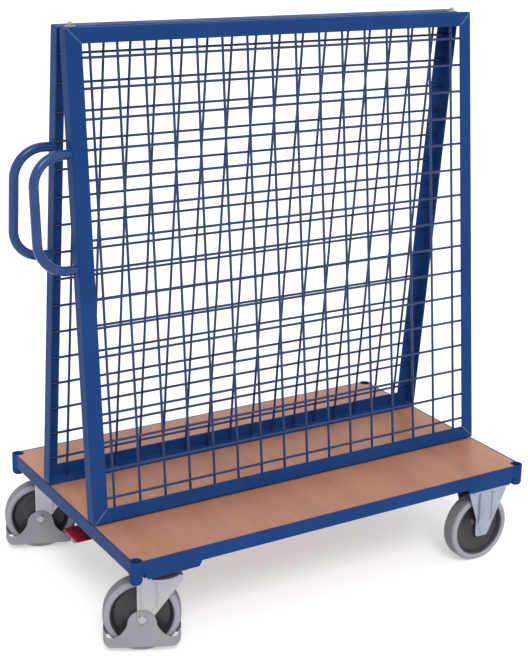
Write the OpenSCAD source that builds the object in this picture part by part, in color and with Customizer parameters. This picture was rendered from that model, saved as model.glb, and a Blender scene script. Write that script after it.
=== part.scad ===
// Push trolley with a flush deck and two meshed panels that lean together as an A-frame.
// +X points from the push handles to the nose end, +Y to the left side, +Z up; z = 0 is the floor.

/* [Steel frame] */
// Length of the steel frame along the trolley
frame_l = 1240; // [1000:10:1600]
// Width of the steel frame across the trolley
frame_w = 790; // [650:10:1000]
// Leg of the angle steel in the frame and the panels
angle_leg = 40; // [35:1:45]
// Wall of the angle steel
angle_t = 4; // [3:0.5:5]
// Outer bend radius of the angle steel
bend_r = 6; // [5.5:0.5:8]
// Gap left at each mitre for the weld
weld_gap = 0.1; // [0.05:0.05:0.3]

/* [Deck] */
// Thickness of the deck board
deck_t = 16; // [12:1:18]
// Gap between the board and the steel round it
deck_gap = 1; // [0.5:0.5:3]
// Width of a cross member under the board
member_w = 30; // [20:1:40]
// Wall of a cross member
member_t = 2.5; // [2:0.5:4]
// Number of cross members between the two end ones
member_count = 3; // [1:1:5]
// Shank diameter of a deck screw
screw_d = 4.5; // [3:0.5:5]
// Head diameter of a deck screw
screw_head_d = 9; // [7:0.5:11]

/* [Corner tubes] */
// Outer diameter of a corner tube
tube_d = 33.7; // [30:0.1:42.4]
// Bore of a corner tube, for a post 0.3 mm thinner
tube_bore = 27.2; // [24:0.1:28]
// Length of a corner tube down to its closed foot
tube_l = 63; // [55:1:100]
// Thickness of the closed foot
tube_foot = 7; // [5:1:12]
// Rounding of the foot's edge
tube_round = 12; // [6:1:14]
// How far the tubes stand out from the rims' faces
tube_out = 5; // [2:1:10]

/* [Mesh panels] */
// Length of a panel up its slope
panel_h = 1262; // [1000:1:1500]
// Lean of each panel from upright, in degrees
panel_tilt = 5.5; // [3:0.1:10]
// Gap between the two panels along the ridge
ridge_gap = 16; // [8:1:20]
// Rounding of a panel's outer corners
corner_r = 9; // [5:1:12]
// Diameter of a mesh wire
wire_d = 6; // [4:0.5:6]
// Number of wires each way
wire_count = 16; // [8:1:20]
// Distance of the outer upright wires from the panel's ends
wire_side = 65; // [50:1:80]
// Height of the lowest cross wire above the panel's foot
wire_foot = 65; // [50:1:80]
// Distance of the highest cross wire from the panel's head
wire_head = 74; // [50:1:80]

/* [Push handles] */
// Outer diameter of the handle tube
grip_d = 25; // [20:1:30]
// Wall of the handle tube
grip_t = 2; // [1.5:0.5:3]
// Reach of a handle beyond the panel
grip_reach = 111; // [90:1:140]
// Height of a handle between its arms' centre lines
grip_h = 288; // [220:1:400]
// Bend radius of the handle's centre line
grip_bend = 76; // [40:1:80]
// Height of the handle's middle up the panel's slope
grip_mid_z = 812; // [650:1:950]

/* [Ridge ties] */
// Distance of a ridge bolt from the panel's end
ridge_bolt_inset = 32; // [25:1:80]
// Diameter of a ridge bolt
ridge_bolt_d = 8; // [6:1:10]
// Width of a tie plate along the ridge
tie_w = 34; // [28:1:60]
// Reach of a tie plate under each rail
tie_reach = 30; // [20:1:34]
// Thickness of a tie plate
tie_t = 4; // [3:0.5:6]

/* [Castor carriers] */
// Depth of a carrier under the rims
carrier_h = 12; // [10:1:16]
// Width of a carrier beyond each end of a castor's plate
carrier_lip = 11.5; // [11:0.5:20]
// Slant of a carrier's sides
carrier_slant = 8; // [4:1:10]
// Gap between a carrier's side and the corner tubes
carrier_gap = 4.3; // [1:0.1:20]
// Sheet of a carrier
carrier_t = 4; // [3:0.5:5]
// Offset of the swivel castors' axis from their carrier's middle
swivel_shift = 9; // [0:0.5:9]
// Offset of the fixed castors' plates from their carrier's middle
fixed_shift = 8; // [0:0.5:9]
// Distance of the swivel castors' axis from the frame's side
swivel_side = 62; // [54:1:120]
// Distance of the fixed castors' middle from the frame's side
fixed_side = 52; // [52:1:120]

/* [Castors] */
// Wheel diameter
wheel_d = 200; // [180:1:200]
// Gap between a wheel and the crown of its fork
crown_gap = 11; // [9:0.5:14]
// Trail of a swivel castor
castor_trail = 45; // [41:1:48]
// Turn of the right swivel castor at rest, in degrees
right_turn = -26; // [-180:1:180]
// Turn of the left swivel castor at rest, in degrees
left_turn = -21; // [-180:1:180]
// Offset of a fixed castor's axle from its plate's centre
fixed_offset = 16; // [0:1:24]
// Castor plate length
plate_l = 135; // [128:1:140]
// Castor plate width
plate_w = 104; // [98:1:104]
// Castor plate thickness
plate_t = 5; // [4:0.5:8]
// Distance of a plate's bolts from its ends
bolt_end = 17.5; // [17:0.5:20]
// Gap between a bolt's nut and the side of a fork
bolt_side_gap = 0.5; // [0.4:0.1:1]
// Castor bolt diameter
castor_bolt_d = 8; // [7:1:8]
// Height between a swivel castor's plate and its fork crown
race_h = 11; // [10.5:0.5:13]
// Sheet of a fork
fork_t = 4; // [3:0.5:5]
// Thickness of a fork's crown
crown_t = 5; // [4:0.5:6]
// Radius of a swivel fork's crown
crown_r = 58; // [54:0.5:58]
// Clear width between a fork's legs
fork_gap = 60; // [58:1:66]
// Kingpin diameter
kingpin_d = 16; // [14:1:20]
// Bore of the hollow kingpin
kingpin_bore = 8.6; // [8.4:0.1:9]

/* [Wheels] */
// Tyre width
tyre_w = 46; // [40:1:50]
// Depth of the tyre's rubber
tyre_depth = 14; // [10:1:18]
// Rounding of the tyre's shoulders
tyre_round = 12; // [6:1:13]
// Width of the hub's rim
hub_rim_w = 41; // [36:1:42]
// Radius of the hub's boss
boss_r = 24; // [20:1:28]
// Thickness of the hub's web
web_t = 12; // [8:1:16]
// Axle bolt diameter
axle_d = 12; // [10:1:12]
// Outer diameter of the axle bush
bush_d = 20; // [18:1:20]
// Diameter of a bearing roller
roller_d = 3.9; // [3.5:0.1:4.5]
// Number of rollers in a bearing
roller_count = 12; // [8:1:12]

/* [Foot guards] */
// Gap between the tyre and a foot guard's end walls
guard_gap = 0.7; // [0.6:0.1:6]
// Wall of a foot guard
guard_t = 2.4; // [2:0.2:3.4]
// Height of a guard's lower edge above the floor
guard_floor = 19; // [10:1:22]
// Height of the guard's side band above the floor
guard_band_z = 47; // [40:1:52]
// Height of the guard's end walls above the floor
guard_end_z = 72; // [62:1:74]
// Height of the guard's hump above the axle
guard_hump = 25; // [22:1:28]
// Half width of the hump at half its height
guard_hump_w = 41; // [38:1:46]
// Corner radius of the guard seen from above
guard_corner = 26; // [15:1:26]

/* [Central brake] */
// Diameter of the brake shaft
shaft_d = 14; // [12:1:16]
// Throw of a cam on the shaft
cam_throw = 8; // [6:0.5:9]
// Radius of a cam's lobe
cam_r = 11; // [10:0.5:12]
// Width of a cam
cam_w = 12; // [8:1:16]
// Gap between a cam and its push pin
cam_gap = 0.3; // [0.2:0.1:0.5]
// Diameter of a push pin
pin_d = 8; // [7:0.5:8]
// Radius of a brake pad's dome
pad_dome_r = 16; // [14:1:18]
// Length of the foot pad along the trolley
pad_l = 66; // [50:1:80]
// Width of the foot pad across the trolley
pad_w = 86; // [60:1:110]
// Thickness of the foot pad
pad_t = 10; // [8:1:14]
// Depth of the foot pad's tread below the castors' plates
pad_drop = 37; // [30:1:70]
// Gap between the foot pad's tip and the frame's end face
pad_tip = 4; // [0:1:30]
// Thickness of the pedal arm
arm_t = 8; // [6:1:10]
// Depth of the pedal arm
arm_w = 20; // [14:1:24]

/* [Hidden] */
$fn = 64;

// General clearances
eps = 0.05;
touch = 0.02;
run_gap = 0.3;
fit_gap = 0.05;
over = 1;

// Heights
castor_h = wheel_d + crown_gap + crown_t + race_h + plate_t;
rim_z = castor_h + carrier_h;
deck_z = rim_z + angle_leg;
member_z = rim_z + angle_t;
member_h = angle_leg - angle_t - deck_t;
origin_shift = (grip_reach - tube_out) / 2;

// Corner tubes
tube_x = frame_l / 2 + tube_out - tube_d / 2;
tube_y = frame_w / 2 + tube_out - tube_d / 2;

// Panels: foot_y puts the inner edges of the top rails ridge_gap apart
foot_y = panel_h * sin(panel_tilt) + angle_leg * cos(panel_tilt) + ridge_gap / 2;
foot_lift = angle_leg * sin(panel_tilt);
wire_pitch_x = (frame_l - 2 * wire_side) / (wire_count - 1);
wire_pitch_z = (panel_h - wire_foot - wire_head) / (wire_count - 1);
cross_wire_y = angle_t + wire_d / 2 + eps;
wire_end = bend_r;
upright_wire_y = cross_wire_y + wire_d + eps;
ridge_z = deck_z + foot_lift + panel_h * cos(panel_tilt) - (angle_leg - eps) * sin(panel_tilt);
ridge_bolt_x = frame_l / 2 - ridge_bolt_inset;
ridge_washer_r = 14;
ridge_washer_t = 2;
ridge_washer_z = ridge_z + (ridge_washer_r - ridge_gap / 2) * tan(panel_tilt) + eps;
tie_foot_z = ridge_z - (ridge_gap / 2 + over) * tan(panel_tilt) - (angle_t + tie_t + eps) / cos(panel_tilt);

// Fasteners
m12_across = 19;
m12_head = 7.5;
m12_nut = 10;
m8_across = 13;
m8_head = 5.3;
m8_nut = 6.5;
washer_t = 2;

// Castors
carrier_w = plate_l + 2 * carrier_lip;
carrier_x = frame_l / 2 + tube_out - tube_d - carrier_gap - carrier_w / 2;
swivel_x = -(carrier_x + swivel_shift);
fixed_x = carrier_x + fixed_shift;
swivel_y = frame_w / 2 - swivel_side;
fixed_y = frame_w / 2 - fixed_side;
wheel_r = wheel_d / 2;
boss_l = fork_gap - 2 * run_gap;
plate_z = castor_h - plate_t;
crown_z = plate_z - race_h - crown_t;
fork_out = fork_gap / 2 + fork_t;
plate_bolt_x = plate_l - 2 * bolt_end;
plate_bolt_y = 2 * (fork_out + bolt_side_gap) + m8_across;
guard_in = fork_out + run_gap;
guard_out = guard_in + guard_t;
guard_l = 2 * (sqrt(pow(wheel_r, 2) - pow(wheel_r - guard_end_z, 2)) + guard_gap + guard_t);
bore_r = bush_d / 2 + roller_d + 2 * fit_gap;
hub_r = wheel_r - tyre_depth;
crown_rise = crown_z + crown_t - wheel_r;
fork_left = crown_r - castor_trail;
fork_right = crown_r + castor_trail;
shoulder_h = 14;
swivel_ribs = [6, fork_right * 0.39];
fixed_ribs = [-2, plate_l * 0.3];

// Brake
shaft_x = swivel_x + cam_throw;
shaft_z = deck_z - deck_t - cam_r - 1;
pin_top = shaft_z - cam_r - cam_gap;
kingpin_flange = 6;
brake_pad_top = crown_z - kingpin_flange - 2 * run_gap;
dome_rest_gap = 3.4;
dome_z = wheel_r + sqrt(pow(wheel_r + pad_dome_r + dome_rest_gap, 2) - pow(castor_trail, 2));
pad_tip_x = -(frame_l / 2 - pad_tip);
pad_z = castor_h - pad_drop;
pedal_slot_w = arm_t + 10;

// Moves a piece so that the bounding box is centred over the origin
module placed() {
    translate([origin_shift, 0, 0]) children();
}

// Copies a piece to both sides
module both_sides() {
    children();
    mirror([0, 1, 0]) children();
}

// Hexagon prism with the given width across flats
module hexagon(across, height) {
    cylinder(r = across / sqrt(3), h = height, $fn = 6);
}

// Flat ring
module ring(r_out, r_in, height) {
    difference() {
        cylinder(r = r_out, h = height);
        translate([0, 0, -over]) cylinder(r = r_in, h = height + 2 * over);
    }
}

// Plate with rounded corners, centred
module rounded_plate(length, width, height, radius) {
    linear_extrude(height) union() {
        square([length - 2 * radius, width], center = true);
        square([length, width - 2 * radius], center = true);
        for (x = [-1, 1], y = [-1, 1])
            translate([x * (length / 2 - radius), y * (width / 2 - radius)]) circle(r = radius);
    }
}

// Section of the bent angle: its corner at the origin, its legs along +x and +y
module angle_section() {
    difference() {
        union() {
            translate([bend_r, 0]) square([angle_leg - bend_r, angle_t]);
            translate([0, bend_r]) square([angle_t, angle_leg - bend_r]);
            intersection() {
                square(bend_r);
                translate([bend_r, bend_r]) circle(r = bend_r);
            }
        }
        translate([bend_r, bend_r]) circle(r = bend_r - angle_t);
    }
}

// Angle bar along X, centred, with its legs along +Y and +Z
module angle_bar_x(length) {
    translate([-length / 2, 0, 0]) rotate([90, 0, 90]) linear_extrude(length) angle_section();
}

// Trapezium that mitres a bar of the given length at both ends, on its line y = 0
module mitre_shape(length) {
    depth = angle_leg + over;
    polygon([
        [-length / 2 + weld_gap, 0], [length / 2 - weld_gap, 0],
        [length / 2 - depth - weld_gap, depth], [-length / 2 + depth + weld_gap, depth]
    ]);
}

// Room for the corner tubes, larger by the given gap
module tube_room(gap) {
    for (x = [-1, 1], y = [-1, 1])
        translate([x * tube_x, y * tube_y, rim_z - over]) cylinder(r = tube_d / 2 + gap, h = angle_leg + 2 * over);
}

// Rim bar of one side, mitred and cut round the corner tubes, before it is turned to its side
module rim(length, half_width) {
    intersection() {
        translate([0, -half_width, rim_z]) angle_bar_x(length);
        translate([0, -half_width, rim_z - over]) linear_extrude(angle_leg + 2 * over) mitre_shape(length);
    }
}

// The strips outside the tubes at a rim's ends, which the tubes replace
module tube_corner_waste() {
    for (x = [-1, 1], y = [-1, 1])
        translate([x * (tube_x + frame_l), y * (tube_y + frame_w), rim_z + angle_leg / 2])
            cube([2 * frame_l, 2 * frame_w, 2 * angle_leg], center = true);
}

module long_rim() {
    difference() {
        rim(frame_l, frame_w / 2);
        tube_room(touch);
        tube_corner_waste();
    }
}

module end_rim() {
    difference() {
        rotate([0, 0, -90]) rim(frame_w, frame_l / 2);
        tube_room(touch);
        tube_corner_waste();
    }
}

module right_rim() {
    color("royalblue") placed() long_rim();
}

module left_rim() {
    color("royalblue") placed() mirror([0, 1, 0]) long_rim();
}

module rear_rim() {
    color("royalblue") placed() end_rim();
}

module front_rim() {
    color("royalblue") placed() mirror([1, 0, 0]) end_rim();
}

// Open-topped tube with a closed, rounded foot
module corner_tube() {
    difference() {
        rotate_extrude() union() {
            translate([0, tube_round]) square([tube_d / 2, tube_l - tube_round]);
            square([tube_d / 2 - tube_round, tube_l]);
            translate([tube_d / 2 - tube_round, tube_round]) intersection() {
                circle(r = tube_round);
                translate([0, -tube_round]) square(tube_round);
            }
        }
        translate([0, 0, tube_foot]) cylinder(r = tube_bore / 2, h = tube_l);
    }
}

module corner_tubes() {
    color("royalblue") placed() for (x = [-1, 1], y = [-1, 1])
        translate([x * tube_x, y * tube_y, deck_z - tube_l]) corner_tube();
}

// Distances along X of the cross members that span the long rims
member_span = 2 * (carrier_x - carrier_w / 2 - member_w);
inner_member_x = [
    for (i = [1 : member_count]) -member_span / 2 + member_span * i / (member_count + 1)
];
end_member_x = frame_l / 2 - bend_r - deck_gap - member_w / 2;
inner_member_l = frame_w - 2 * bend_r - 2 * deck_gap;
end_member_l = 2 * (tube_y - tube_d / 2) - 4 * deck_gap;

// Channel, open below, that carries the board
module cross_member(length) {
    translate([0, length / 2, 0]) rotate([90, 0, 0]) linear_extrude(length) difference() {
        translate([-member_w / 2, 0]) square([member_w, member_h]);
        translate([-member_w / 2 + member_t, -over]) square([member_w - 2 * member_t, member_h - member_t + over]);
    }
}

module deck_screw_places() {
    for (x = concat([-end_member_x, end_member_x], inner_member_x), y = [-1, 1])
        translate([x, y * (tube_y - 2 * tube_d), member_z + member_h - member_t]) children();
}

module cross_members() {
    color("royalblue") placed() difference() {
        union() {
            for (x = inner_member_x) translate([x, 0, member_z + eps]) cross_member(inner_member_l);
            for (x = [-1, 1]) translate([x * end_member_x, 0, member_z + eps]) cross_member(end_member_l);
        }
        deck_screw_places() translate([0, 0, -over]) cylinder(r = screw_d / 2 + fit_gap, h = member_t + 2 * over);
    }
}

module deck_screws() {
    color("silver") placed() deck_screw_places() union() {
        translate([0, 0, -2.5]) cylinder(r1 = screw_head_d / 3, r2 = screw_head_d / 2, h = 2.5);
        translate([0, 0, -touch]) cylinder(r = screw_d / 2, h = member_t + deck_t * 0.6);
    }
}

module deck_board() {
    color("burlywood") placed() difference() {
        translate([0, 0, deck_z - deck_t / 2 + eps]) cube([
            frame_l - 2 * angle_t - 2 * deck_gap, frame_w - 2 * angle_t - 2 * deck_gap, deck_t - 2 * eps
        ], center = true);
        tube_room(deck_gap);
        deck_screw_places() cylinder(r = screw_d / 2 + fit_gap, h = member_t + deck_t * 0.6 + 0.5);
    }
}

// Section of a carrier: a shallow tray with slanted sides
module carrier_section(inset) {
    polygon([
        [-carrier_w / 2 + inset, carrier_h + inset],
        [-carrier_w / 2 + carrier_slant + inset, inset],
        [carrier_w / 2 - carrier_slant - inset, inset],
        [carrier_w / 2 - inset, carrier_h + inset]
    ]);
}

module carrier() {
    length = frame_w - 2 * carrier_t;
    translate([0, 0, castor_h]) difference() {
        translate([0, frame_w / 2, 0]) rotate([90, 0, 0]) linear_extrude(frame_w) carrier_section(0);
        translate([0, length / 2, 0]) rotate([90, 0, 0]) linear_extrude(length) carrier_section(carrier_t);
    }
}

// Places of the four bolts of one castor plate
module plate_bolt_places() {
    for (x = [-1, 1], y = [-1, 1]) translate([x * plate_bolt_x / 2, y * plate_bolt_y / 2, 0]) children();
}

module castor_carriers() {
    color("royalblue") placed() {
        difference() {
            translate([-carrier_x, 0, 0]) carrier();
            both_sides() translate([swivel_x, swivel_y, castor_h - over]) {
                cylinder(r = kingpin_d / 2 + 2, h = carrier_t + 2 * over);
                plate_bolt_places() cylinder(r = castor_bolt_d / 2 + 0.5, h = carrier_t + 2 * over);
            }
            translate([-frame_l / 2, -pedal_slot_w / 2, castor_h - over])
                cube([frame_l / 2 + shaft_x + shaft_d, pedal_slot_w, carrier_h + 2 * over]);
        }
        difference() {
            translate([carrier_x, 0, 0]) carrier();
            both_sides() translate([fixed_x, fixed_y, castor_h - over])
                plate_bolt_places() cylinder(r = castor_bolt_d / 2 + 0.5, h = carrier_t + 2 * over);
        }
    }
}

// Stands a panel piece, drawn with its face on y = 0 and its foot on z = 0, on the right side
module on_right() {
    placed() translate([0, -foot_y, deck_z + foot_lift]) rotate([-panel_tilt, 0, 0]) children();
}

module on_left() {
    placed() mirror([0, 1, 0]) translate([0, -foot_y, deck_z + foot_lift]) rotate([-panel_tilt, 0, 0]) children();
}

// Outline of a whole panel with rounded outer corners, as a prism through its depth
module panel_outline() {
    translate([0, angle_leg + over, panel_h / 2]) rotate([90, 0, 0])
        rounded_plate(frame_l, panel_h, angle_leg + 2 * over, corner_r);
}

module panel_rail() {
    intersection() {
        angle_bar_x(frame_l);
        translate([0, angle_leg + over, 0]) rotate([90, 0, 0])
            linear_extrude(angle_leg + 2 * over) mitre_shape(frame_l);
        panel_outline();
    }
}

module panel_stile() {
    intersection() {
        translate([-frame_l / 2, 0, 0]) linear_extrude(panel_h) angle_section();
        translate([-frame_l / 2, angle_leg + over, panel_h / 2]) rotate([90, 90, 0])
            linear_extrude(angle_leg + 2 * over) mitre_shape(panel_h);
        panel_outline();
    }
}

module top_rail() {
    translate([0, 0, panel_h]) mirror([0, 0, 1]) panel_rail();
}

module mesh() {
    upright_l = panel_h - 2 * wire_end;
    cross_l = frame_l - 2 * wire_end;
    for (i = [0 : wire_count - 1]) {
        offset_i = i - (wire_count - 1) / 2;
        translate([offset_i * wire_pitch_x, upright_wire_y, wire_end]) cylinder(r = wire_d / 2, h = upright_l);
        translate([-cross_l / 2, cross_wire_y, wire_foot + i * wire_pitch_z])
            rotate([0, 90, 0]) cylinder(r = wire_d / 2, h = cross_l);
    }
}

// Solid of the handle's bent rod with the given radius, its arms lengthened by extra
module handle_rod(radius, extra) {
    arm = grip_reach - grip_d / 2 - grip_bend;
    half = grip_h / 2 - grip_bend;
    for (s = [0, 1]) mirror([0, 0, s]) {
        translate([-arm, 0, grip_h / 2]) rotate([0, 90, 0]) cylinder(r = radius, h = arm + extra);
        translate([-arm, 0, half]) rotate([90, 0, 0]) rotate([0, 0, 90])
            rotate_extrude(angle = 90) translate([grip_bend, 0]) circle(r = radius);
    }
    translate([-arm - grip_bend, 0, -half]) cylinder(r = radius, h = 2 * half);
}

module handle() {
    translate([-frame_l / 2 - eps, angle_leg / 2, grip_mid_z]) difference() {
        handle_rod(grip_d / 2, 0);
        handle_rod(grip_d / 2 - grip_t, over);
    }
}

module right_bottom_rail() {
    color("royalblue") on_right() panel_rail();
}

module right_top_rail() {
    color("royalblue") on_right() top_rail();
}

module right_rear_stile() {
    color("royalblue") on_right() panel_stile();
}

module right_front_stile() {
    color("royalblue") on_right() mirror([1, 0, 0]) panel_stile();
}

module right_mesh() {
    color("midnightblue") on_right() mesh();
}

module right_handle() {
    color("royalblue") on_right() handle();
}

module left_bottom_rail() {
    color("royalblue") on_left() panel_rail();
}

module left_top_rail() {
    color("royalblue") on_left() top_rail();
}

module left_rear_stile() {
    color("royalblue") on_left() panel_stile();
}

module left_front_stile() {
    color("royalblue") on_left() mirror([1, 0, 0]) panel_stile();
}

module left_mesh() {
    color("midnightblue") on_left() mesh();
}

module left_handle() {
    color("royalblue") on_left() handle();
}

// Half of the V-shaped tie plates, under the right top rail
module tie_half() {
    for (x = [-1, 1]) translate([x * ridge_bolt_x - tie_w / 2, angle_leg - tie_reach, panel_h - angle_t - tie_t - eps])
        cube([tie_w, tie_reach + ridge_gap / 2 + over, tie_t]);
}

module ridge_ties() {
    color("royalblue") difference() {
        union() {
            on_right() tie_half();
            on_left() tie_half();
        }
        placed() for (x = [-1, 1]) translate([x * ridge_bolt_x, 0, ridge_z - 4 * tie_t])
            cylinder(r = ridge_bolt_d / 2 + fit_gap, h = 8 * tie_t);
    }
}

module ridge_bolts() {
    head_z = tie_foot_z - m8_head - eps;
    nut_z = ridge_washer_z + ridge_washer_t + touch;
    color("silver") placed() for (x = [-1, 1]) translate([x * ridge_bolt_x, 0, 0]) {
        translate([0, 0, head_z]) union() {
            hexagon(m8_across, m8_head);
            cylinder(r = ridge_bolt_d / 2, h = nut_z + m8_nut + 3 - head_z);
        }
        translate([0, 0, ridge_washer_z]) ring(ridge_washer_r, ridge_bolt_d / 2 + touch, ridge_washer_t);
        translate([0, 0, nut_z]) difference() {
            hexagon(m8_across, m8_nut);
            translate([0, 0, -over]) cylinder(r = ridge_bolt_d / 2 + touch, h = m8_nut + 2 * over);
        }
    }
}

// Bolt down through carrier and plate, with its nut below
module castor_bolt() {
    head_z = castor_h + carrier_t + touch;
    nut_z = plate_z - m8_nut - touch;
    union() {
        translate([0, 0, head_z]) hexagon(m8_across, m8_head);
        translate([0, 0, nut_z - 2]) cylinder(r = castor_bolt_d / 2, h = head_z - nut_z + 3);
    }
    translate([0, 0, nut_z]) difference() {
        hexagon(m8_across, m8_nut);
        translate([0, 0, -over]) cylinder(r = castor_bolt_d / 2 + touch, h = m8_nut + 2 * over);
    }
}

module castor_bolts() {
    color("silver") placed() both_sides() {
        translate([swivel_x, swivel_y, 0]) plate_bolt_places() castor_bolt();
        translate([fixed_x, fixed_y, 0]) plate_bolt_places() castor_bolt();
    }
}

// Castor plate with its four holes
module castor_plate() {
    translate([0, 0, plate_z]) difference() {
        rounded_plate(plate_l, plate_w, plate_t, 10);
        plate_bolt_places() translate([0, 0, -over]) cylinder(r = castor_bolt_d / 2 + 0.5, h = plate_t + 2 * over);
    }
}

module swivel_plates() {
    color("silver") placed() both_sides() translate([swivel_x, swivel_y, 0]) difference() {
        castor_plate();
        translate([0, 0, plate_z - over]) cylinder(r = kingpin_d / 2 + touch, h = plate_t + 2 * over);
    }
}

// Upper race: a cup under the plate with the balls that roll on the crown
module swivel_race() {
    ball_r = (race_h - 2 * run_gap) / 4;
    track_r = crown_r * 0.62;
    ball_z = plate_z - race_h + run_gap + ball_r;
    difference() {
        translate([0, 0, ball_z + run_gap]) ring(track_r + 2.5 * ball_r, track_r - 2.5 * ball_r, plate_z - ball_z - run_gap - touch);
        translate([0, 0, ball_z]) rotate_extrude() translate([track_r, 0]) circle(r = ball_r + touch);
    }
    for (i = [0 : 15]) rotate([0, 0, i * 22.5]) translate([track_r, 0, ball_z]) sphere(r = ball_r, $fn = 24);
}

module swivel_races() {
    color("silver") placed() both_sides() translate([swivel_x, swivel_y, 0]) swivel_race();
}

module kingpins() {
    flange_z = crown_z - run_gap - kingpin_flange;
    color("silver") placed() both_sides() translate([swivel_x, swivel_y, 0]) difference() {
        union() {
            translate([0, 0, flange_z]) cylinder(r = kingpin_d / 2, h = castor_h - flange_z);
            translate([0, 0, flange_z]) cylinder(r = kingpin_d - 1, h = kingpin_flange);
        }
        translate([0, 0, flange_z - over]) cylinder(r = kingpin_bore / 2, h = castor_h - flange_z + 2 * over);
    }
}

// Point where the line from p touches the right side of the circle about c
function tangent_point(c, r, p) =
    let (d = p - c, a = atan2(d[1], d[0]) - acos(r / norm(d)))
    [c[0] + r * cos(a), c[1] + r * sin(a)];

// Outline of a fork's leg about the axle at the origin, its foot rounded about two centres
module leg_outline(top_left, waist_left, top_right, top, foot_left, foot_right, corner) {
    shoulder = [top_right, top - shoulder_h];
    touch_right = tangent_point(foot_right, corner, shoulder);
    union() {
        translate(foot_left) circle(r = corner);
        translate(foot_right) circle(r = corner);
        polygon([
            [foot_left[0] - corner, foot_left[1]], waist_left, top_left, [top_left[0], top], [top_right, top],
            shoulder, touch_right, foot_right, [foot_right[0], foot_right[1] - corner],
            [foot_left[0], foot_left[1] - corner], foot_left
        ]);
    }
}

// One leg of a fork, standing on the side of +Y, with two pressed ribs
module fork_leg(top_left, waist_left, top_right, top, foot_left, foot_right, corner, rib_x) {
    rib_r = 7;
    rib_out = 1.5;
    rib_foot = guard_hump + 3;
    translate([0, fork_gap / 2, 0]) difference() {
        union() {
            translate([0, fork_t, 0]) rotate([90, 0, 0]) linear_extrude(fork_t)
                leg_outline(top_left, waist_left, top_right, top, foot_left, foot_right, corner);
            for (x = rib_x) intersection() {
                translate([x, fork_t + rib_out - rib_r, rib_foot]) cylinder(r = rib_r, h = top - rib_foot);
                translate([x - rib_r, fork_t - eps, rib_foot]) cube([2 * rib_r, 2 * rib_out, top]);
            }
        }
        translate([0, -over, 0]) rotate([-90, 0, 0]) cylinder(r = axle_d / 2 + touch, h = fork_t + 2 * over);
    }
}

// Swivel fork about its kingpin axis, trailing towards -X
module swivel_fork() {
    difference() {
        union() {
            translate([0, 0, crown_z]) cylinder(r = crown_r, h = crown_t);
            translate([-crown_r, -fork_out, crown_z]) cube([2 * crown_r, 2 * fork_out, crown_t]);
            both_sides() translate([-castor_trail, 0, wheel_r])
                fork_leg([-fork_left, crown_rise - 30], [-fork_left, 10], fork_right, crown_rise, [-5, -6], [14, -6], 8, swivel_ribs);
        }
        translate([0, 0, crown_z - over]) cylinder(r = kingpin_d / 2 + fit_gap, h = crown_t + 2 * over);
    }
}

// Axle bolt along Y with washer and nut, clamping what lies between -grip and +grip
module axle_bolt(grip) {
    rotate([90, 0, 0]) {
        translate([0, 0, -grip - washer_t - m12_nut - 2]) cylinder(r = axle_d / 2, h = 2 * grip + 2 * washer_t + m12_nut + 2);
        translate([0, 0, grip + washer_t]) hexagon(m12_across, m12_head);
    }
}

module axle_nut(grip) {
    rotate([-90, 0, 0]) translate([0, 0, grip + washer_t + touch]) difference() {
        hexagon(m12_across, m12_nut);
        translate([0, 0, -over]) cylinder(r = axle_d / 2 + touch, h = m12_nut + 2 * over);
    }
}

module axle_washers(grip) {
    both_sides() rotate([-90, 0, 0]) translate([0, 0, grip + touch]) ring(m12_across * 0.63, axle_d / 2 + touch, washer_t - 2 * touch);
}

module axle_set(grip) {
    axle_bolt(grip + 2 * touch);
    axle_nut(grip + 2 * touch);
    axle_washers(grip);
}

module axle_bush() {
    rotate([90, 0, 0]) translate([0, 0, -fork_gap / 2 + eps]) ring(bush_d / 2, axle_d / 2 + touch, fork_gap - 2 * eps);
}

module roller_bearing() {
    track = bush_d / 2 + fit_gap + roller_d / 2;
    rotate([90, 0, 0]) translate([0, 0, -boss_l / 2 + 2]) {
        ring(track + roller_d * 0.3, track - roller_d * 0.3, boss_l - 4);
        for (i = [0 : roller_count - 1]) rotate([0, 0, i * 360 / roller_count])
            translate([track, 0, 3]) cylinder(r = roller_d / 2, h = boss_l - 10);
    }
}

// Hub: dished web between rim and boss
module wheel_hub() {
    rim = hub_rim_w / 2;
    web = web_t / 2;
    boss = boss_l / 2;
    rotate([90, 0, 0]) rotate_extrude() polygon([
        [bore_r, -boss], [boss_r - 2, -boss], [boss_r, -boss + 2], [boss_r + 3, -rim + 4],
        [boss_r + 12, -web - 3], [boss_r + 18, -web], [hub_r - 14, -web], [hub_r - 8, -rim + 2],
        [hub_r - 6, -rim], [hub_r - touch, -rim], [hub_r - touch, rim], [hub_r - 6, rim],
        [hub_r - 8, rim - 2], [hub_r - 14, web], [boss_r + 18, web], [boss_r + 12, web + 3],
        [boss_r + 3, rim - 4], [boss_r, boss - 2], [boss_r - 2, boss], [bore_r, boss]
    ]);
}

// Tyre: a band with rounded shoulders
module tyre() {
    half = tyre_w / 2;
    rotate([90, 0, 0]) rotate_extrude() union() {
        translate([hub_r, -half]) square([tyre_depth - tyre_round, tyre_w]);
        translate([hub_r, -half + tyre_round]) square([tyre_depth, tyre_w - 2 * tyre_round]);
        for (y = [-1, 1]) intersection() {
            translate([wheel_r - tyre_round, y * (half - tyre_round)]) circle(r = tyre_round);
            translate([wheel_r - tyre_round, -half]) square([tyre_round, tyre_w]);
        }
    }
}

// Height of the guard's upper edge above the floor at a distance from the axle
function guard_top(x) =
    let (peak = wheel_r + guard_hump,
         bell = 1 / (1 + pow(abs(x) / guard_hump_w, 4.6)),
         end = max(0, min(1, (abs(x) - guard_l / 2 + 17) / 14)),
         rise = end * end * (3 - 2 * end))
    guard_band_z + (peak - guard_band_z) * bell + (guard_end_z - guard_band_z) * rise;

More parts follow.
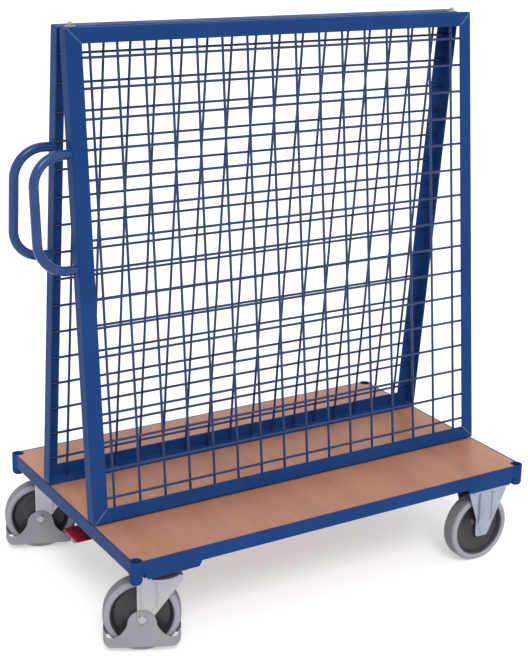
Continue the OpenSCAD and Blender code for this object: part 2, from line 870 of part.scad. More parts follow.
// Moulded guard about the axle: a band round the wheel's foot with a hump up to the axle on each side
module foot_guard() {
    step = 3;
    half = guard_l / 2;
    count = floor(half / step);
    xs = [for (i = [-count : count]) i * half / count];
    round_r = 18;
    difference() {
        intersection() {
            translate([0, 0, guard_floor]) rounded_plate(guard_l, 2 * guard_out, wheel_d, guard_corner);
            translate([0, guard_out + over, 0]) rotate([90, 0, 0]) linear_extrude(2 * (guard_out + over)) polygon(concat(
                [for (a = [180 : 15 : 270]) [-half + round_r + round_r * cos(a), guard_floor + round_r + round_r * sin(a)]],
                [for (a = [270 : 15 : 360]) [half - round_r + round_r * cos(a), guard_floor + round_r + round_r * sin(a)]],
                [for (i = [len(xs) - 1 : -1 : 0]) [xs[i], guard_top(xs[i])]]
            ));
        }
        translate([0, 0, guard_floor - over])
            rounded_plate(guard_l - 2 * guard_t, 2 * guard_in, wheel_d, guard_corner - guard_t);
        translate([0, guard_out + over, wheel_r]) rotate([90, 0, 0])
            cylinder(r = axle_d / 2 + touch, h = 2 * (guard_out + over));
    }
}

// Puts a piece drawn about the kingpin on the right or left swivel castor
module on_right_swivel() {
    placed() translate([swivel_x, -swivel_y, 0]) rotate([0, 0, right_turn]) children();
}

module on_left_swivel() {
    placed() translate([swivel_x, swivel_y, 0]) rotate([0, 0, left_turn]) children();
}

// Puts a piece drawn about its axle at the wheel's centre
module at_trail() {
    translate([-castor_trail, 0, wheel_r]) children();
}

module at_fixed(side) {
    placed() translate([fixed_x - fixed_offset, side * fixed_y, wheel_r]) children();
}

module right_swivel_fork() {
    color("lightgray") on_right_swivel() swivel_fork();
}

module right_swivel_axle() {
    color("silver") on_right_swivel() at_trail() axle_set(guard_out);
}

module right_swivel_bush() {
    color("gray") on_right_swivel() at_trail() axle_bush();
}

module right_foot_guard() {
    color("slategray") on_right_swivel() translate([-castor_trail, 0, 0]) foot_guard();
}

module left_swivel_fork() {
    color("lightgray") on_left_swivel() swivel_fork();
}

module left_swivel_axle() {
    color("silver") on_left_swivel() at_trail() axle_set(guard_out);
}

module left_swivel_bush() {
    color("gray") on_left_swivel() at_trail() axle_bush();
}

module left_foot_guard() {
    color("slategray") on_left_swivel() translate([-castor_trail, 0, 0]) foot_guard();
}

// Fixed fork about its axle, with the plate on top
module fixed_fork() {
    top = plate_z - wheel_r;
    left = -plate_l / 2 + fixed_offset + 0.5;
    right = plate_l / 2 + fixed_offset - 0.5;
    union() {
        translate([fixed_offset, 0, -wheel_r]) castor_plate();
        both_sides() fork_leg([left, top - 12], [-24, 36], right, top + eps, [-14, -9], [12, -9], 10, fixed_ribs);
        translate([left, -fork_out, top - fork_t]) cube([right - left, 2 * fork_out, fork_t + eps]);
    }
}

module right_fixed_fork() {
    color("lightgray") at_fixed(-1) fixed_fork();
}

module left_fixed_fork() {
    color("lightgray") at_fixed(1) fixed_fork();
}

// Axle riveted over on the outsides of a fixed fork
module riveted_axle() {
    head_t = 2.5;
    rotate([90, 0, 0]) union() {
        translate([0, 0, -fork_out - touch]) cylinder(r = axle_d / 2, h = 2 * (fork_out + touch));
        for (s = [0, 1]) mirror([0, 0, s]) translate([0, 0, fork_out + touch]) cylinder(r1 = axle_d / 2 + 4, r2 = axle_d / 2 + 2, h = head_t);
    }
}

module fixed_axles() {
    color("silver") for (side = [-1, 1]) at_fixed(side) riveted_axle();
}

module fixed_bushes() {
    color("gray") for (side = [-1, 1]) at_fixed(side) axle_bush();
}

module rear_right_bearing() {
    color("gray") on_right_swivel() at_trail() roller_bearing();
}

module rear_right_hub() {
    color("dimgray") on_right_swivel() at_trail() wheel_hub();
}

module rear_right_tyre() {
    color("darkgray") on_right_swivel() at_trail() tyre();
}

module rear_left_bearing() {
    color("gray") on_left_swivel() at_trail() roller_bearing();
}

module rear_left_hub() {
    color("dimgray") on_left_swivel() at_trail() wheel_hub();
}

module rear_left_tyre() {
    color("darkgray") on_left_swivel() at_trail() tyre();
}

module front_right_bearing() {
    color("gray") at_fixed(-1) roller_bearing();
}

module front_right_hub() {
    color("dimgray") at_fixed(-1) wheel_hub();
}

module front_right_tyre() {
    color("darkgray") at_fixed(-1) tyre();
}

module front_left_bearing() {
    color("gray") at_fixed(1) roller_bearing();
}

module front_left_hub() {
    color("dimgray") at_fixed(1) wheel_hub();
}

module front_left_tyre() {
    color("darkgray") at_fixed(1) tyre();
}

// Brackets that carry the brake shaft on the rear carrier
module brake_shaft_brackets() {
    foot_z = castor_h + carrier_t + eps;
    width = shaft_d + 12;
    color("silver") placed() both_sides() translate([shaft_x, swivel_y * 0.45, 0]) difference() {
        union() {
            translate([-width / 2, -6, foot_z]) cube([width, 12, shaft_z - foot_z]);
            translate([0, 6, shaft_z]) rotate([90, 0, 0]) cylinder(r = shaft_d / 2 + 3, h = 12);
        }
        translate([0, 6 + over, shaft_z]) rotate([90, 0, 0]) cylinder(r = shaft_d / 2 + fit_gap, h = 12 + 2 * over);
    }
}

// Shaft with a cam over each kingpin
module brake_shaft() {
    end_y = swivel_y + cam_w;
    color("silver") placed() translate([shaft_x, 0, shaft_z]) union() {
        translate([0, end_y, 0]) rotate([90, 0, 0]) cylinder(r = shaft_d / 2, h = 2 * end_y);
        both_sides() translate([0, swivel_y + cam_w / 2, 0]) rotate([90, 0, 0]) {
            cylinder(r = cam_r, h = cam_w);
            translate([-cam_throw, 0, 0]) cylinder(r = cam_r, h = cam_w);
            translate([-cam_throw, -cam_r, 0]) cube([cam_throw, 2 * cam_r, cam_w]);
        }
    }
}

// Points of the pedal arm's centre line in its own plane
arm_z = pad_z - pad_t + 1 - arm_w / 2;
arm_knee = [pad_tip_x + pad_l + arm_w * 0.45, arm_z];
arm_tip = [pad_tip_x + 5 + arm_w / 2, arm_z];
foot_plate_t = 4;

// Straight stretch of the arm between two points, round at its ends
module arm_stretch(a, b, width) {
    d = b - a;
    translate(a) circle(r = width / 2);
    translate(b) circle(r = width / 2);
    translate(a) rotate([0, 0, atan2(d[1], d[0])]) translate([0, -width / 2]) square([norm(d), width]);
}

module brake_pedal_arm() {
    color("silver") placed() difference() {
        union() {
            translate([0, arm_t / 2, 0]) rotate([90, 0, 0]) linear_extrude(arm_t) union() {
                translate([shaft_x, shaft_z]) circle(r = shaft_d / 2 + 4);
                arm_stretch([shaft_x, shaft_z], arm_knee, arm_w);
                arm_stretch(arm_knee, arm_tip, arm_w);
            }
            translate([pad_tip_x + 5, -pad_w / 2 + 5, pad_z - pad_t])
                cube([pad_l - 10, pad_w - 10, foot_plate_t]);
        }
        translate([shaft_x, arm_t / 2 + over, shaft_z]) rotate([90, 0, 0])
            cylinder(r = shaft_d / 2 + touch, h = arm_t + 2 * over);
    }
}

// Ribbed foot pad that slips over the arm's foot plate
module brake_pedal_pad() {
    rib = 2;
    count = 7;
    body_z = pad_z - pad_t;
    color("crimson") placed() difference() {
        union() {
            translate([pad_tip_x + pad_l / 2, 0, body_z]) rounded_plate(pad_l, pad_w, pad_t - rib, 7);
            for (i = [0 : count - 1])
                translate([pad_tip_x + 6 + i * (pad_l - 16) / (count - 1), -pad_w / 2 + 7, pad_z - rib - eps])
                    cube([4, pad_w - 14, rib + eps]);
        }
        translate([pad_tip_x + 5 - run_gap, -pad_w / 2 + 5 - run_gap, body_z - over])
            cube([pad_l - 10 + 2 * run_gap, pad_w - 10 + 2 * run_gap, foot_plate_t + eps + over]);
        translate([pad_tip_x + pad_l / 2, -arm_t / 2 - run_gap, body_z - over])
            cube([pad_l, arm_t + 2 * run_gap, 2 * over + run_gap]);
    }
}

// Push pin through the hollow kingpin, with the domed brake pad under it
module brake_pin() {
    head = 3;
    union() {
        translate([0, 0, brake_pad_top - over]) cylinder(r = pin_d / 2, h = pin_top - brake_pad_top + over);
        translate([0, 0, pin_top - head]) cylinder(r = pin_d / 2 + 3, h = head);
        intersection() {
            translate([0, 0, dome_z]) sphere(r = pad_dome_r);
            translate([0, 0, brake_pad_top - pad_dome_r]) cylinder(r = pad_dome_r, h = pad_dome_r);
        }
    }
}

module right_brake_pin() {
    color("dimgray") placed() translate([swivel_x, -swivel_y, 0]) brake_pin();
}

module left_brake_pin() {
    color("dimgray") placed() translate([swivel_x, swivel_y, 0]) brake_pin();
}

right_rim();
left_rim();
front_rim();
rear_rim();
corner_tubes();
cross_members();
castor_carriers();
deck_board();
deck_screws();
right_bottom_rail();
right_top_rail();
right_rear_stile();
right_front_stile();
right_mesh();
left_bottom_rail();
left_top_rail();
left_rear_stile();
left_front_stile();
left_mesh();
right_handle();
left_handle();
ridge_ties();
ridge_bolts();
castor_bolts();
swivel_plates();
swivel_races();
kingpins();
right_swivel_fork();
right_swivel_axle();
right_swivel_bush();
right_foot_guard();
left_swivel_fork();
left_swivel_axle();
left_swivel_bush();
left_foot_guard();
right_fixed_fork();
left_fixed_fork();
fixed_axles();
fixed_bushes();
rear_right_bearing();
rear_right_hub();
rear_right_tyre();
rear_left_bearing();
rear_left_hub();
rear_left_tyre();
front_right_bearing();
front_right_hub();
front_right_tyre();
front_left_bearing();
front_left_hub();
front_left_tyre();
brake_shaft_brackets();
brake_shaft();
brake_pedal_arm();
brake_pedal_pad();
right_brake_pin();
left_brake_pin();
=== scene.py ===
"""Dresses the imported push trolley: its finishes, its moulded and turned pieces, and its welds.

The trolley has a flush deck on an angle-steel frame, two meshed panels that lean together as an
A-frame, two push handles, two swivel and two fixed castors, and a central foot brake. Every length
is in metres in the CAD frame: +X runs from the handles to the nose, +Y to the left, +Z up.
"""

from __future__ import annotations

import logging
import math
from dataclasses import dataclass, field
from enum import Enum
from itertools import product
from typing import Union

import bpy
import numpy as np
from mathutils import Matrix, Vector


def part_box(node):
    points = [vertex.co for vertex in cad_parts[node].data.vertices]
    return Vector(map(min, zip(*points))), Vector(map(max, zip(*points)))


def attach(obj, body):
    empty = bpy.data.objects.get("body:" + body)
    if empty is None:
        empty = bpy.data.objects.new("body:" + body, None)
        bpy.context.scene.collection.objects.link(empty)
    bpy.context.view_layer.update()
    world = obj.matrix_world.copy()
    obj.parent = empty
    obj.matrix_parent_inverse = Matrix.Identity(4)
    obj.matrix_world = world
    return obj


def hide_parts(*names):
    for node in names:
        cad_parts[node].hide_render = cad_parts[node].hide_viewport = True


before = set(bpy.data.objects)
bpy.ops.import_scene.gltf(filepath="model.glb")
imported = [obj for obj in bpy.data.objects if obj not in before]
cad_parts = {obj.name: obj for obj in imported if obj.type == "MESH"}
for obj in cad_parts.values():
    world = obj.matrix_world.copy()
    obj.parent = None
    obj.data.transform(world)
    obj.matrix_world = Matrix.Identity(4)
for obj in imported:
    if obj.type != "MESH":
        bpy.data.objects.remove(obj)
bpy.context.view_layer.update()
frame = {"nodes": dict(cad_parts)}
LOG = logging.getLogger("trolley")
MM = 0.001
FULL_TURN = 2.0 * math.pi
PHOTO_WIDTH = 528
PHOTO_HEIGHT = 656
SIGNS = (-1, 1)
CAP_INSET = 0.6

# Point attributes that the tyre's and the forks' finishes read; the forks' fold attribute weights their
# painted shade along the folds
TREAD = "tread"
FOLD_SHADE = "fold"

Array = np.ndarray
Colour = tuple[float, float, float]
Spot = tuple[float, float, float]
Node = bpy.types.Node
Output = bpy.types.NodeSocket
Tree = bpy.types.NodeTree
Socket = Union[Output, float, int, tuple, str, bool]
Feeds = dict[Union[str, int], Socket]


class Side(Enum):
    """The two sides of the trolley, as the sign of their Y."""

    RIGHT = -1
    LEFT = 1

    @property
    def word(self) -> str:
        """Name of the side, as it stands in the nodes' names."""
        return self.name.lower()


class Loop(Enum):
    """How the rows of a grid of points end, whose columns always join round."""

    ROUND = "joined to its own start"
    POLES = "drawn together in one point at each end"


# Degrees by which each swivel castor is turned at rest, as in the photograph
REST_TURN = {Side.RIGHT: -26.0, Side.LEFT: -21.0}


# Places


@dataclass(frozen=True)
class Place:
    """A turn followed by a shift, as a 4 by 4 matrix that carries rows of points."""

    matrix: Array = field(default_factory=lambda: np.eye(4))

    @staticmethod
    def shift(x: float, y: float, z: float) -> Place:
        """Place moved by the given lengths.

        Args:
            x: length along X.
            y: length along Y.
            z: length along Z.

        Returns:
            The moved place.
        """
        made = np.eye(4)
        made[:3, 3] = (x, y, z)
        return Place(made)

    @staticmethod
    def lift(z: float) -> Place:
        """Place raised by the given height."""
        return Place.shift(0.0, 0.0, z)

    @staticmethod
    def turn(axis: str, degrees: float) -> Place:
        """Place turned about the axis named X, Y or Z."""
        return Place(np.array(Matrix.Rotation(math.radians(degrees), 4, axis)))

    @staticmethod
    def flip_y() -> Place:
        """Place mirrored across the trolley's middle plane."""
        return Place(np.diag([1.0, -1.0, 1.0, 1.0]))

    def __matmul__(self, other: Place) -> Place:
        """This place, with the other one inside it."""
        return Place(self.matrix @ other.matrix)

    def carry(self, points: Array) -> Array:
        """Points of any leading shape, turned and moved by this place."""
        return points @ self.matrix[:3, :3].T + self.matrix[:3, 3]


# Surfaces


@dataclass
class Skin:
    """Gathers grids of points into the faces of one closed mesh."""

    points: list[Array] = field(default_factory=list)
    quads: list[Array] = field(default_factory=list)
    triangles: list[Array] = field(default_factory=list)
    total: int = 0

    def add(self, grid: Array, end: Loop, place: Place = Place()) -> Skin:
        """Adds closed shells whose faces point outwards.

        The corners of face (i, j) are the grid points (i, j), (i+1, j), (i+1, j+1) and (i, j+1).
        A shell whose signed volume is negative has its faces reversed.

        Args:
            grid: points of shape (rows, columns, 3) or (shells, rows, columns, 3). The columns
                always join round on themselves.
            end: whether the rows join round too, or are closed by a point at each end.
            place: where the shells stand.

        Returns:
            The skin itself, so that calls can follow each other.
        """
        shells = place.carry(grid if grid.ndim == 4 else grid[None])
        count, rows, columns, _ = shells.shape
        last = rows if end is Loop.ROUND else rows - 1
        i, j = np.meshgrid(np.arange(last), np.arange(columns), indexing="ij")
        i2, j2 = (i + 1) % rows, (j + 1) % columns
        corners = [i * columns + j, i2 * columns + j, i2 * columns + j2, i * columns + j2]
        quads = np.stack(corners, -1).reshape(-1, 4)
        flat = shells.reshape(count, -1, 3)
        triangles = np.zeros((0, 3), int)
        if end is Loop.POLES:
            flat = np.concatenate([flat, shells[:, :1].mean(2), shells[:, -1:].mean(2)], 1)
            ring, step = np.arange(columns), (np.arange(columns) + 1) % columns
            foot, head, top = rows * columns, rows * columns + 1, (rows - 1) * columns
            low = np.stack([np.full(columns, foot), ring, step], -1)
            high = np.stack([np.full(columns, head), step + top, ring + top], -1)
            triangles = np.concatenate([low, high])
        if self._volume(flat[0], quads, triangles) < 0:
            quads, triangles = quads[:, ::-1], triangles[:, ::-1]
        start = self.total + np.arange(count)[:, None, None] * flat.shape[1]
        self.points.append(flat.reshape(-1, 3))
        self.quads.append((quads[None] + start).reshape(-1, 4))
        self.triangles.append((triangles[None] + start).reshape(-1, 3))
        self.total += count * flat.shape[1]
        return self

    @staticmethod
    def _volume(points: Array, quads: Array, triangles: Array) -> float:
        """Signed volume of a closed shell: the sum of its triangles' corner products over six.

        Args:
            points: the shell's points, of shape (n, 3).
            quads: its four-cornered faces.
            triangles: its three-cornered faces.

        Returns:
            The volume, which is positive where the faces point outwards.
        """
        parts = np.concatenate([quads[:, [0, 1, 2]], quads[:, [0, 2, 3]], triangles])
        a, b, c = (points[parts[:, k]] for k in range(3))
        return float(np.einsum("ij,ij->i", a, np.cross(b, c)).sum() / 6.0)

    def mesh(self, name: str, sharp_degrees: float) -> bpy.types.Mesh:
        """Makes the mesh, smooth except at its sharp edges.

        Args:
            name: the mesh's name.
            sharp_degrees: edges sharper than this angle stay crisp.

        Returns:
            The new mesh.
        """
        made = bpy.data.meshes.new(name)
        faces = np.concatenate(self.quads).tolist() + np.concatenate(self.triangles).tolist()
        made.from_pydata(np.concatenate(self.points).tolist(), [], faces)
        made.shade_smooth()
        made.set_sharp_from_angle(angle=math.radians(sharp_degrees))
        made.update()
        return made


def rounded_outline(corners: list[tuple[float, float]], radii: list[float], steps: int = 6) -> Array:
    """Closed outline whose corners are arcs.

    The arc of a corner touches both its sides at r / tan(half the corner's angle), about a centre
    that stands r / sin(half the angle) along the bisector.

    Args:
        corners: the corners in order, in metres.
        radii: the radius at each corner, above zero.
        steps: faces along each arc.

    Returns:
        Points of shape (corners * (steps + 1), 2).
    """
    spot, radius = np.array(corners, float), np.array(radii, float)[:, None]
    back, ahead = np.roll(spot, 1, 0) - spot, np.roll(spot, -1, 0) - spot
    back /= np.linalg.norm(back, axis=1, keepdims=True)
    ahead /= np.linalg.norm(ahead, axis=1, keepdims=True)
    straight_on = 0.9999
    cosine = np.clip((back * ahead).sum(1, keepdims=True), -straight_on, straight_on)
    half = np.arccos(cosine) / 2.0
    middle = back + ahead
    middle /= np.linalg.norm(middle, axis=1, keepdims=True)
    centre = spot + middle * radius / np.sin(half)
    first = spot + back * radius / np.tan(half) - centre
    last = spot + ahead * radius / np.tan(half) - centre
    sweep = (math.pi - 2.0 * half)[:, None]
    share = np.linspace(0.0, 1.0, steps + 1)[None, :, None]
    before, after = np.sin((1.0 - share) * sweep), np.sin(share * sweep)
    arc = (before * first[:, None] + after * last[:, None]) / np.sin(sweep)
    return (centre[:, None] + arc).reshape(-1, 2)


def turned(outline: Array, sides: int) -> Array:
    """Surface of revolution about Y: (r cos t, h, r sin t) for every outline point (r, h) and angle t.

    Args:
        outline: the section's points (r, h), of shape (n, 2).
        sides: points round the axis.

    Returns:
        Grid of shape (sides, n, 3).
    """
    angle = np.arange(sides)[:, None] * FULL_TURN / sides
    radius, height = outline[None, :, 0], outline[None, :, 1]
    return np.stack([radius * np.cos(angle), height + 0.0 * angle, radius * np.sin(angle)], -1)


def lifted(rings: Array, level: Array) -> Array:
    """Flat outlines of shape (rows, columns, 2), each raised to its own level."""
    return np.concatenate([rings, np.broadcast_to(level[:, None, None], (*rings.shape[:2], 1))], -1)


def about_z(radius: Array, angle: Array, level: Array) -> Array:
    """Points round Z: (r cos t, r sin t, z) for radius r, angle t and height z."""
    return np.stack([radius * np.cos(angle), radius * np.sin(angle), level + 0.0 * angle], -1)


def hexagon_radius(angle: Array, across: float) -> Array:
    """Distance from the axis to a hexagon's side: half its width over cos of the angle off its middle."""
    off = (angle + math.pi / 6.0) % (math.pi / 3.0) - math.pi / 6.0
    return across / 2.0 / np.cos(off)


def hexagon_block(across: float, height: float, chamfer_low: bool = False) -> Array:
    """Chamfered hexagon head or nut standing on z = 0.

    At each level the radius is the smaller of the hexagon's and that of a 30 degree cone, which
    takes the corners off the top face and, for a nut, off the bottom face too. The end faces are
    drawn in, so that the caps that close them stay flat.

    Args:
        across: width across the flats.
        height: height of the block.
        chamfer_low: whether the bottom face has its corners taken off too.

    Returns:
        Grid of shape (11, 72, 3).
    """
    sides, inset, flat_share = 72, 0.72, 0.97
    angle = np.arange(sides)[None, :] * FULL_TURN / sides
    level = height * np.array([0.0, 0.0, 0.04, 0.1, 0.2, 0.5, 0.8, 0.9, 0.96, 1.0, 1.0])[:, None]
    drawn = np.ones_like(level)
    drawn[[0, -1]] = inset
    slope = math.sqrt(3.0)
    face = across / 2.0 * flat_share
    radius = np.minimum(hexagon_radius(angle, across), face + (height - level) * slope)
    if chamfer_low:
        radius = np.minimum(radius, face + level * slope)
    return about_z(radius * drawn, angle, level)


def threaded_end(diameter: float, length: float, pitch: float, sides: int = 28, per_turn: int = 6) -> Array:
    """Bolt end along +Z: a cylinder with a wave turning round it, and a tip cut by a 45 degree cone.

    The radius waves by the thread's depth, 0.3 pitches, once for each pitch.

    Args:
        diameter: outer diameter of the thread.
        length: length from the root to the tip.
        pitch: distance between the thread's turns.
        sides: points round the axis.
        per_turn: rows of points for each pitch.

    Returns:
        Grid of shape (rows, sides, 3).
    """
    level = np.linspace(0.0, length, max(4, int(length / pitch * per_turn)))[:, None]
    angle = np.arange(sides)[None, :] * FULL_TURN / sides
    depth = 0.3 * pitch
    wave = 0.5 - 0.5 * np.cos(FULL_TURN * level / pitch - angle)
    radius = np.minimum(diameter / 2.0 - depth * wave, diameter / 2.0 - 1.2 * depth + (length - level))
    return about_z(radius, angle, level)


def disc(radius: float, bottom: float, top: float, edge: float, sides: int = 64, hole: float = 0.0) -> Array:
    """Flat turned ring or disc about Z with rounded edges, as a closed section carried round the axis.

    Args:
        radius: outer radius.
        bottom: height of the lower face.
        top: height of the upper face.
        edge: radius of the outer edges.
        sides: points round the axis.
        hole: radius of the hole, which is a hair where none is given.

    Returns:
        Grid of shape (sides, 20, 3).
    """
    hair, fine_edge = 0.05 * MM, 0.2 * MM
    inner = max(hole, hair)
    small = min(edge, fine_edge)
    corners = [(inner, bottom), (radius, bottom), (radius, top), (inner, top)]
    outline = rounded_outline(corners, [small, edge, edge, small], 4)
    grid = turned(outline, sides)
    return np.stack([grid[..., 0], grid[..., 2], grid[..., 1]], -1)


def scattered(x: Union[Array, float], y: Union[Array, float], z: Union[Array, float]) -> Array:
    """Points with the given coordinates, any of which may be one number for them all."""
    return np.stack([value.ravel() for value in np.broadcast_arrays(x, y, z)], -1)


def bead(
    path: Array, width: float, rise: float, up: Union[Array, Spot], pitch: float = 3.0 * MM, sides: int = 10,
) -> Array:
    """Weld bead: an ellipse carried along a path, its size rippling once for each pitch.

    At distance s along the path the ellipse has half-axes width and rise, times
    (1 + 0.12 cos(2 pi s / pitch)), and near an end times the fourth root of eight times the
    share of the path that is left to it.

    Args:
        path: points of shape (n, 3).
        width: half width across the seam.
        rise: half height above it.
        up: direction of the height, of shape (3,) or (n, 3).
        pitch: distance between ripples.
        sides: points round the ellipse.

    Returns:
        Grid of shape (n, sides, 3).
    """
    along = np.gradient(path, axis=0)
    along /= np.linalg.norm(along, axis=1, keepdims=True)
    raised = np.broadcast_to(np.asarray(up, float), path.shape)
    across = np.cross(along, raised)
    across /= np.linalg.norm(across, axis=1, keepdims=True)
    raised = np.cross(across, along)
    gone = np.concatenate([[0.0], np.cumsum(np.linalg.norm(np.diff(path, axis=0), axis=1))])
    share = np.minimum(gone, gone[-1] - gone) / max(gone[-1], 1e-9)
    size = (1.0 + 0.12 * np.cos(FULL_TURN * gone / pitch)) * np.clip(share * 8.0, 1e-3, 1.0) ** 0.25
    angle = np.arange(sides) * FULL_TURN / sides
    flat, lift = width * np.cos(angle)[None, :, None], rise * np.sin(angle)[None, :, None]
    ring = across[:, None] * flat + raised[:, None] * lift
    return path[:, None] + ring * size[:, None, None]


def blobs(centres: Array, radii: Spot) -> Array:
    """Small ellipsoids, one about each centre: rings at five heights, eight points to a ring.

    Args:
        centres: points of shape (n, 3).
        radii: the ellipsoids' half-axes along X, Y and Z.

    Returns:
        Grid of shape (n, 5, 8, 3).
    """
    polar = np.array([0.18, 0.32, 0.5, 0.68, 0.82])[:, None] * math.pi
    angle = np.arange(8)[None, :] * FULL_TURN / 8
    unit = about_z(np.sin(polar), angle, np.cos(polar))
    return centres[:, None, None] + unit[None] * np.array(radii)


def straight(start: Spot, end: Spot, step: float = 0.8 * MM) -> Array:
    """Evenly spaced points on the line between two points.

    Args:
        start: first point.
        end: last point.
        step: distance from one point to the next.

    Returns:
        At least six points, of shape (n, 3).
    """
    a, b = np.array(start, float), np.array(end, float)
    count = max(6, int(np.linalg.norm(b - a) / step))
    return a + (b - a) * np.linspace(0.0, 1.0, count)[:, None]


# Effects shared by the finishes


class Wiring:
    """Adds nodes to one tree and joins their sockets."""

    def __init__(self, tree: Tree) -> None:
        """Keeps the tree that the nodes go into."""
        self.tree = tree

    def add(self, kind: str, feeds: Feeds | None = None, **settings: Socket) -> Node:
        """Adds a node.

        Args:
            kind: the node's type, of which a shader node's leaves out the ShaderNode prefix.
            feeds: for each input, by name or number, a socket to join or a value to set.
            **settings: the node's own properties.

        Returns:
            The new node.
        """
        node = self.tree.nodes.new(kind if kind.startswith("Node") else f"ShaderNode{kind}")
        for name, value in settings.items():
            setattr(node, name, value)
        for name, value in (feeds or {}).items():
            if isinstance(value, Output):
                self.tree.links.new(value, node.inputs[name])
            else:
                node.inputs[name].default_value = value
        return node

    def spot(self) -> Output:
        """Position on the object, in its own coordinates."""
        return self.add("TexCoord").outputs["Object"]

    def math(self, operation: str, a: Socket, b: Socket = 0.0, clamp: bool = False) -> Output:
        """Result of one arithmetic step."""
        return self.add("Math", {0: a, 1: b}, operation=operation, use_clamp=clamp).outputs[0]

    def times(self, a: Socket, b: Socket, clamp: bool = False) -> Output:
        """Product of two values."""
        return self.math("MULTIPLY", a, b, clamp)

    def plus(self, a: Socket, b: Socket, clamp: bool = False) -> Output:
        """Sum of two values."""
        return self.math("ADD", a, b, clamp)

    def span(
        self, value: Socket, low: float, high: float, to_low: float = 0.0, to_high: float = 1.0,
    ) -> Output:
        """Value stretched smoothly from one range to another and kept inside it."""
        feeds = {"Value": value, "From Min": low, "From Max": high, "To Min": to_low, "To Max": to_high}
        return self.add("MapRange", feeds, interpolation_type="SMOOTHSTEP").outputs["Result"]

    def blend(self, share: Socket, a: Union[Output, Colour], b: Colour) -> Output:
        """Mix of a plain colour into another one or into an earlier mix."""
        first = a if isinstance(a, Output) else (*a, 1.0)
        return self.add("Mix", {0: share, 6: first, 7: (*b, 1.0)}, data_type="RGBA").outputs[2]

    def noise(self, where: Socket, scale: Socket, detail: float = 2.0, rough: float = 0.5) -> Output:
        """Soft random field between 0 and 1."""
        feeds = {"Vector": where, "Scale": scale, "Detail": detail, "Roughness": rough}
        return self.add("TexNoise", feeds).outputs["Fac"]


class Effects:
    """Node groups for edges, grain and dust, each built once and placed in many materials."""

    def __init__(self) -> None:
        """Builds the three groups."""
        self.edges = self._edges()
        self.grain = self._grain()
        self.dust = self._dust()

    @staticmethod
    def _group(name: str, inputs: dict[str, float], outputs: dict[str, str]) -> tuple[Tree, Wiring]:
        """Empty group with its named sockets.

        Args:
            name: the group's name.
            inputs: default value of each input.
            outputs: socket type of each output.

        Returns:
            The group's tree, and the wiring that fills it.
        """
        tree = bpy.data.node_groups.new(name, "ShaderNodeTree")
        for label, value in inputs.items():
            socket = tree.interface.new_socket(label, in_out="INPUT", socket_type="NodeSocketFloat")
            socket.default_value = value
        for label, kind in outputs.items():
            tree.interface.new_socket(label, in_out="OUTPUT", socket_type=kind)
        return tree, Wiring(tree)

    def _edges(self) -> Tree:
        """Rounded normals near edges, and a broken mask of the edges, which the materials lighten for wear by
        rubbing and for painted highlights.

        The mask is the gain times one minus the product of the rounded and the plain normal,
        where a noise lets it through.

        Returns:
            The group's tree.
        """
        outputs = {"Mask": "NodeSocketFloat", "Normal": "NodeSocketVector"}
        # The group's mask lightens edges for wear by rubbing and for painted highlights along bends
        tree, wire = self._group("rubbed edges", {"Reach": 0.001, "Gain": 4.0}, outputs)
        given = wire.add("NodeGroupInput")
        plain = wire.add("NewGeometry").outputs["Normal"]
        bent = wire.add("Bevel", {"Radius": given.outputs["Reach"]}, samples=6).outputs["Normal"]
        flat = wire.add("VectorMath", {0: bent, 1: plain}, operation="DOT_PRODUCT").outputs["Value"]
        bare = wire.times(wire.math("SUBTRACT", 1.0, flat), given.outputs["Gain"], clamp=True)
        broken = wire.span(wire.noise(wire.spot(), 55.0, detail=4.0, rough=0.65), 0.38, 0.66)
        wire.add("NodeGroupOutput", {"Mask": wire.times(bare, broken), "Normal": bent})
        return tree

    def _grain(self) -> Tree:
        """Fine height for bump, slow patches for colour, and small specks.

        Returns:
            The group's tree.
        """
        outputs = {"Height": "NodeSocketFloat", "Patch": "NodeSocketFloat", "Speck": "NodeSocketFloat"}
        tree, wire = self._group("fine grain", {"Scale": 900.0, "Patch Scale": 7.0}, outputs)
        given, spot = wire.add("NodeGroupInput"), wire.spot()
        height = wire.noise(spot, given.outputs["Scale"], detail=2.0, rough=0.55)
        patch = wire.noise(spot, given.outputs["Patch Scale"], detail=4.0, rough=0.6)
        speck = wire.noise(spot, 140.0, detail=3.0, rough=0.7)
        feeds = {"Height": height, "Patch": wire.span(patch, 0.3, 0.7), "Speck": wire.span(speck, 0.62, 0.74)}
        wire.add("NodeGroupOutput", feeds)
        return tree

    def _dust(self) -> Tree:
        """Mask of the dust that settles on faces that look up, in uneven drifts.

        Returns:
            The group's tree.
        """
        tree, wire = self._group("settled dust", {"Amount": 0.2}, {"Mask": "NodeSocketFloat"})
        given = wire.add("NodeGroupInput")
        up = wire.add("SeparateXYZ", {0: wire.add("NewGeometry").outputs["Normal"]}).outputs["Z"]
        drift = wire.noise(wire.spot(), 16.0, detail=5.0, rough=0.65)
        lying = wire.times(wire.span(up, 0.35, 0.95), wire.span(drift, 0.35, 0.75))
        wire.add("NodeGroupOutput", {"Mask": wire.times(lying, given.outputs["Amount"])})
        return tree


# Finishes


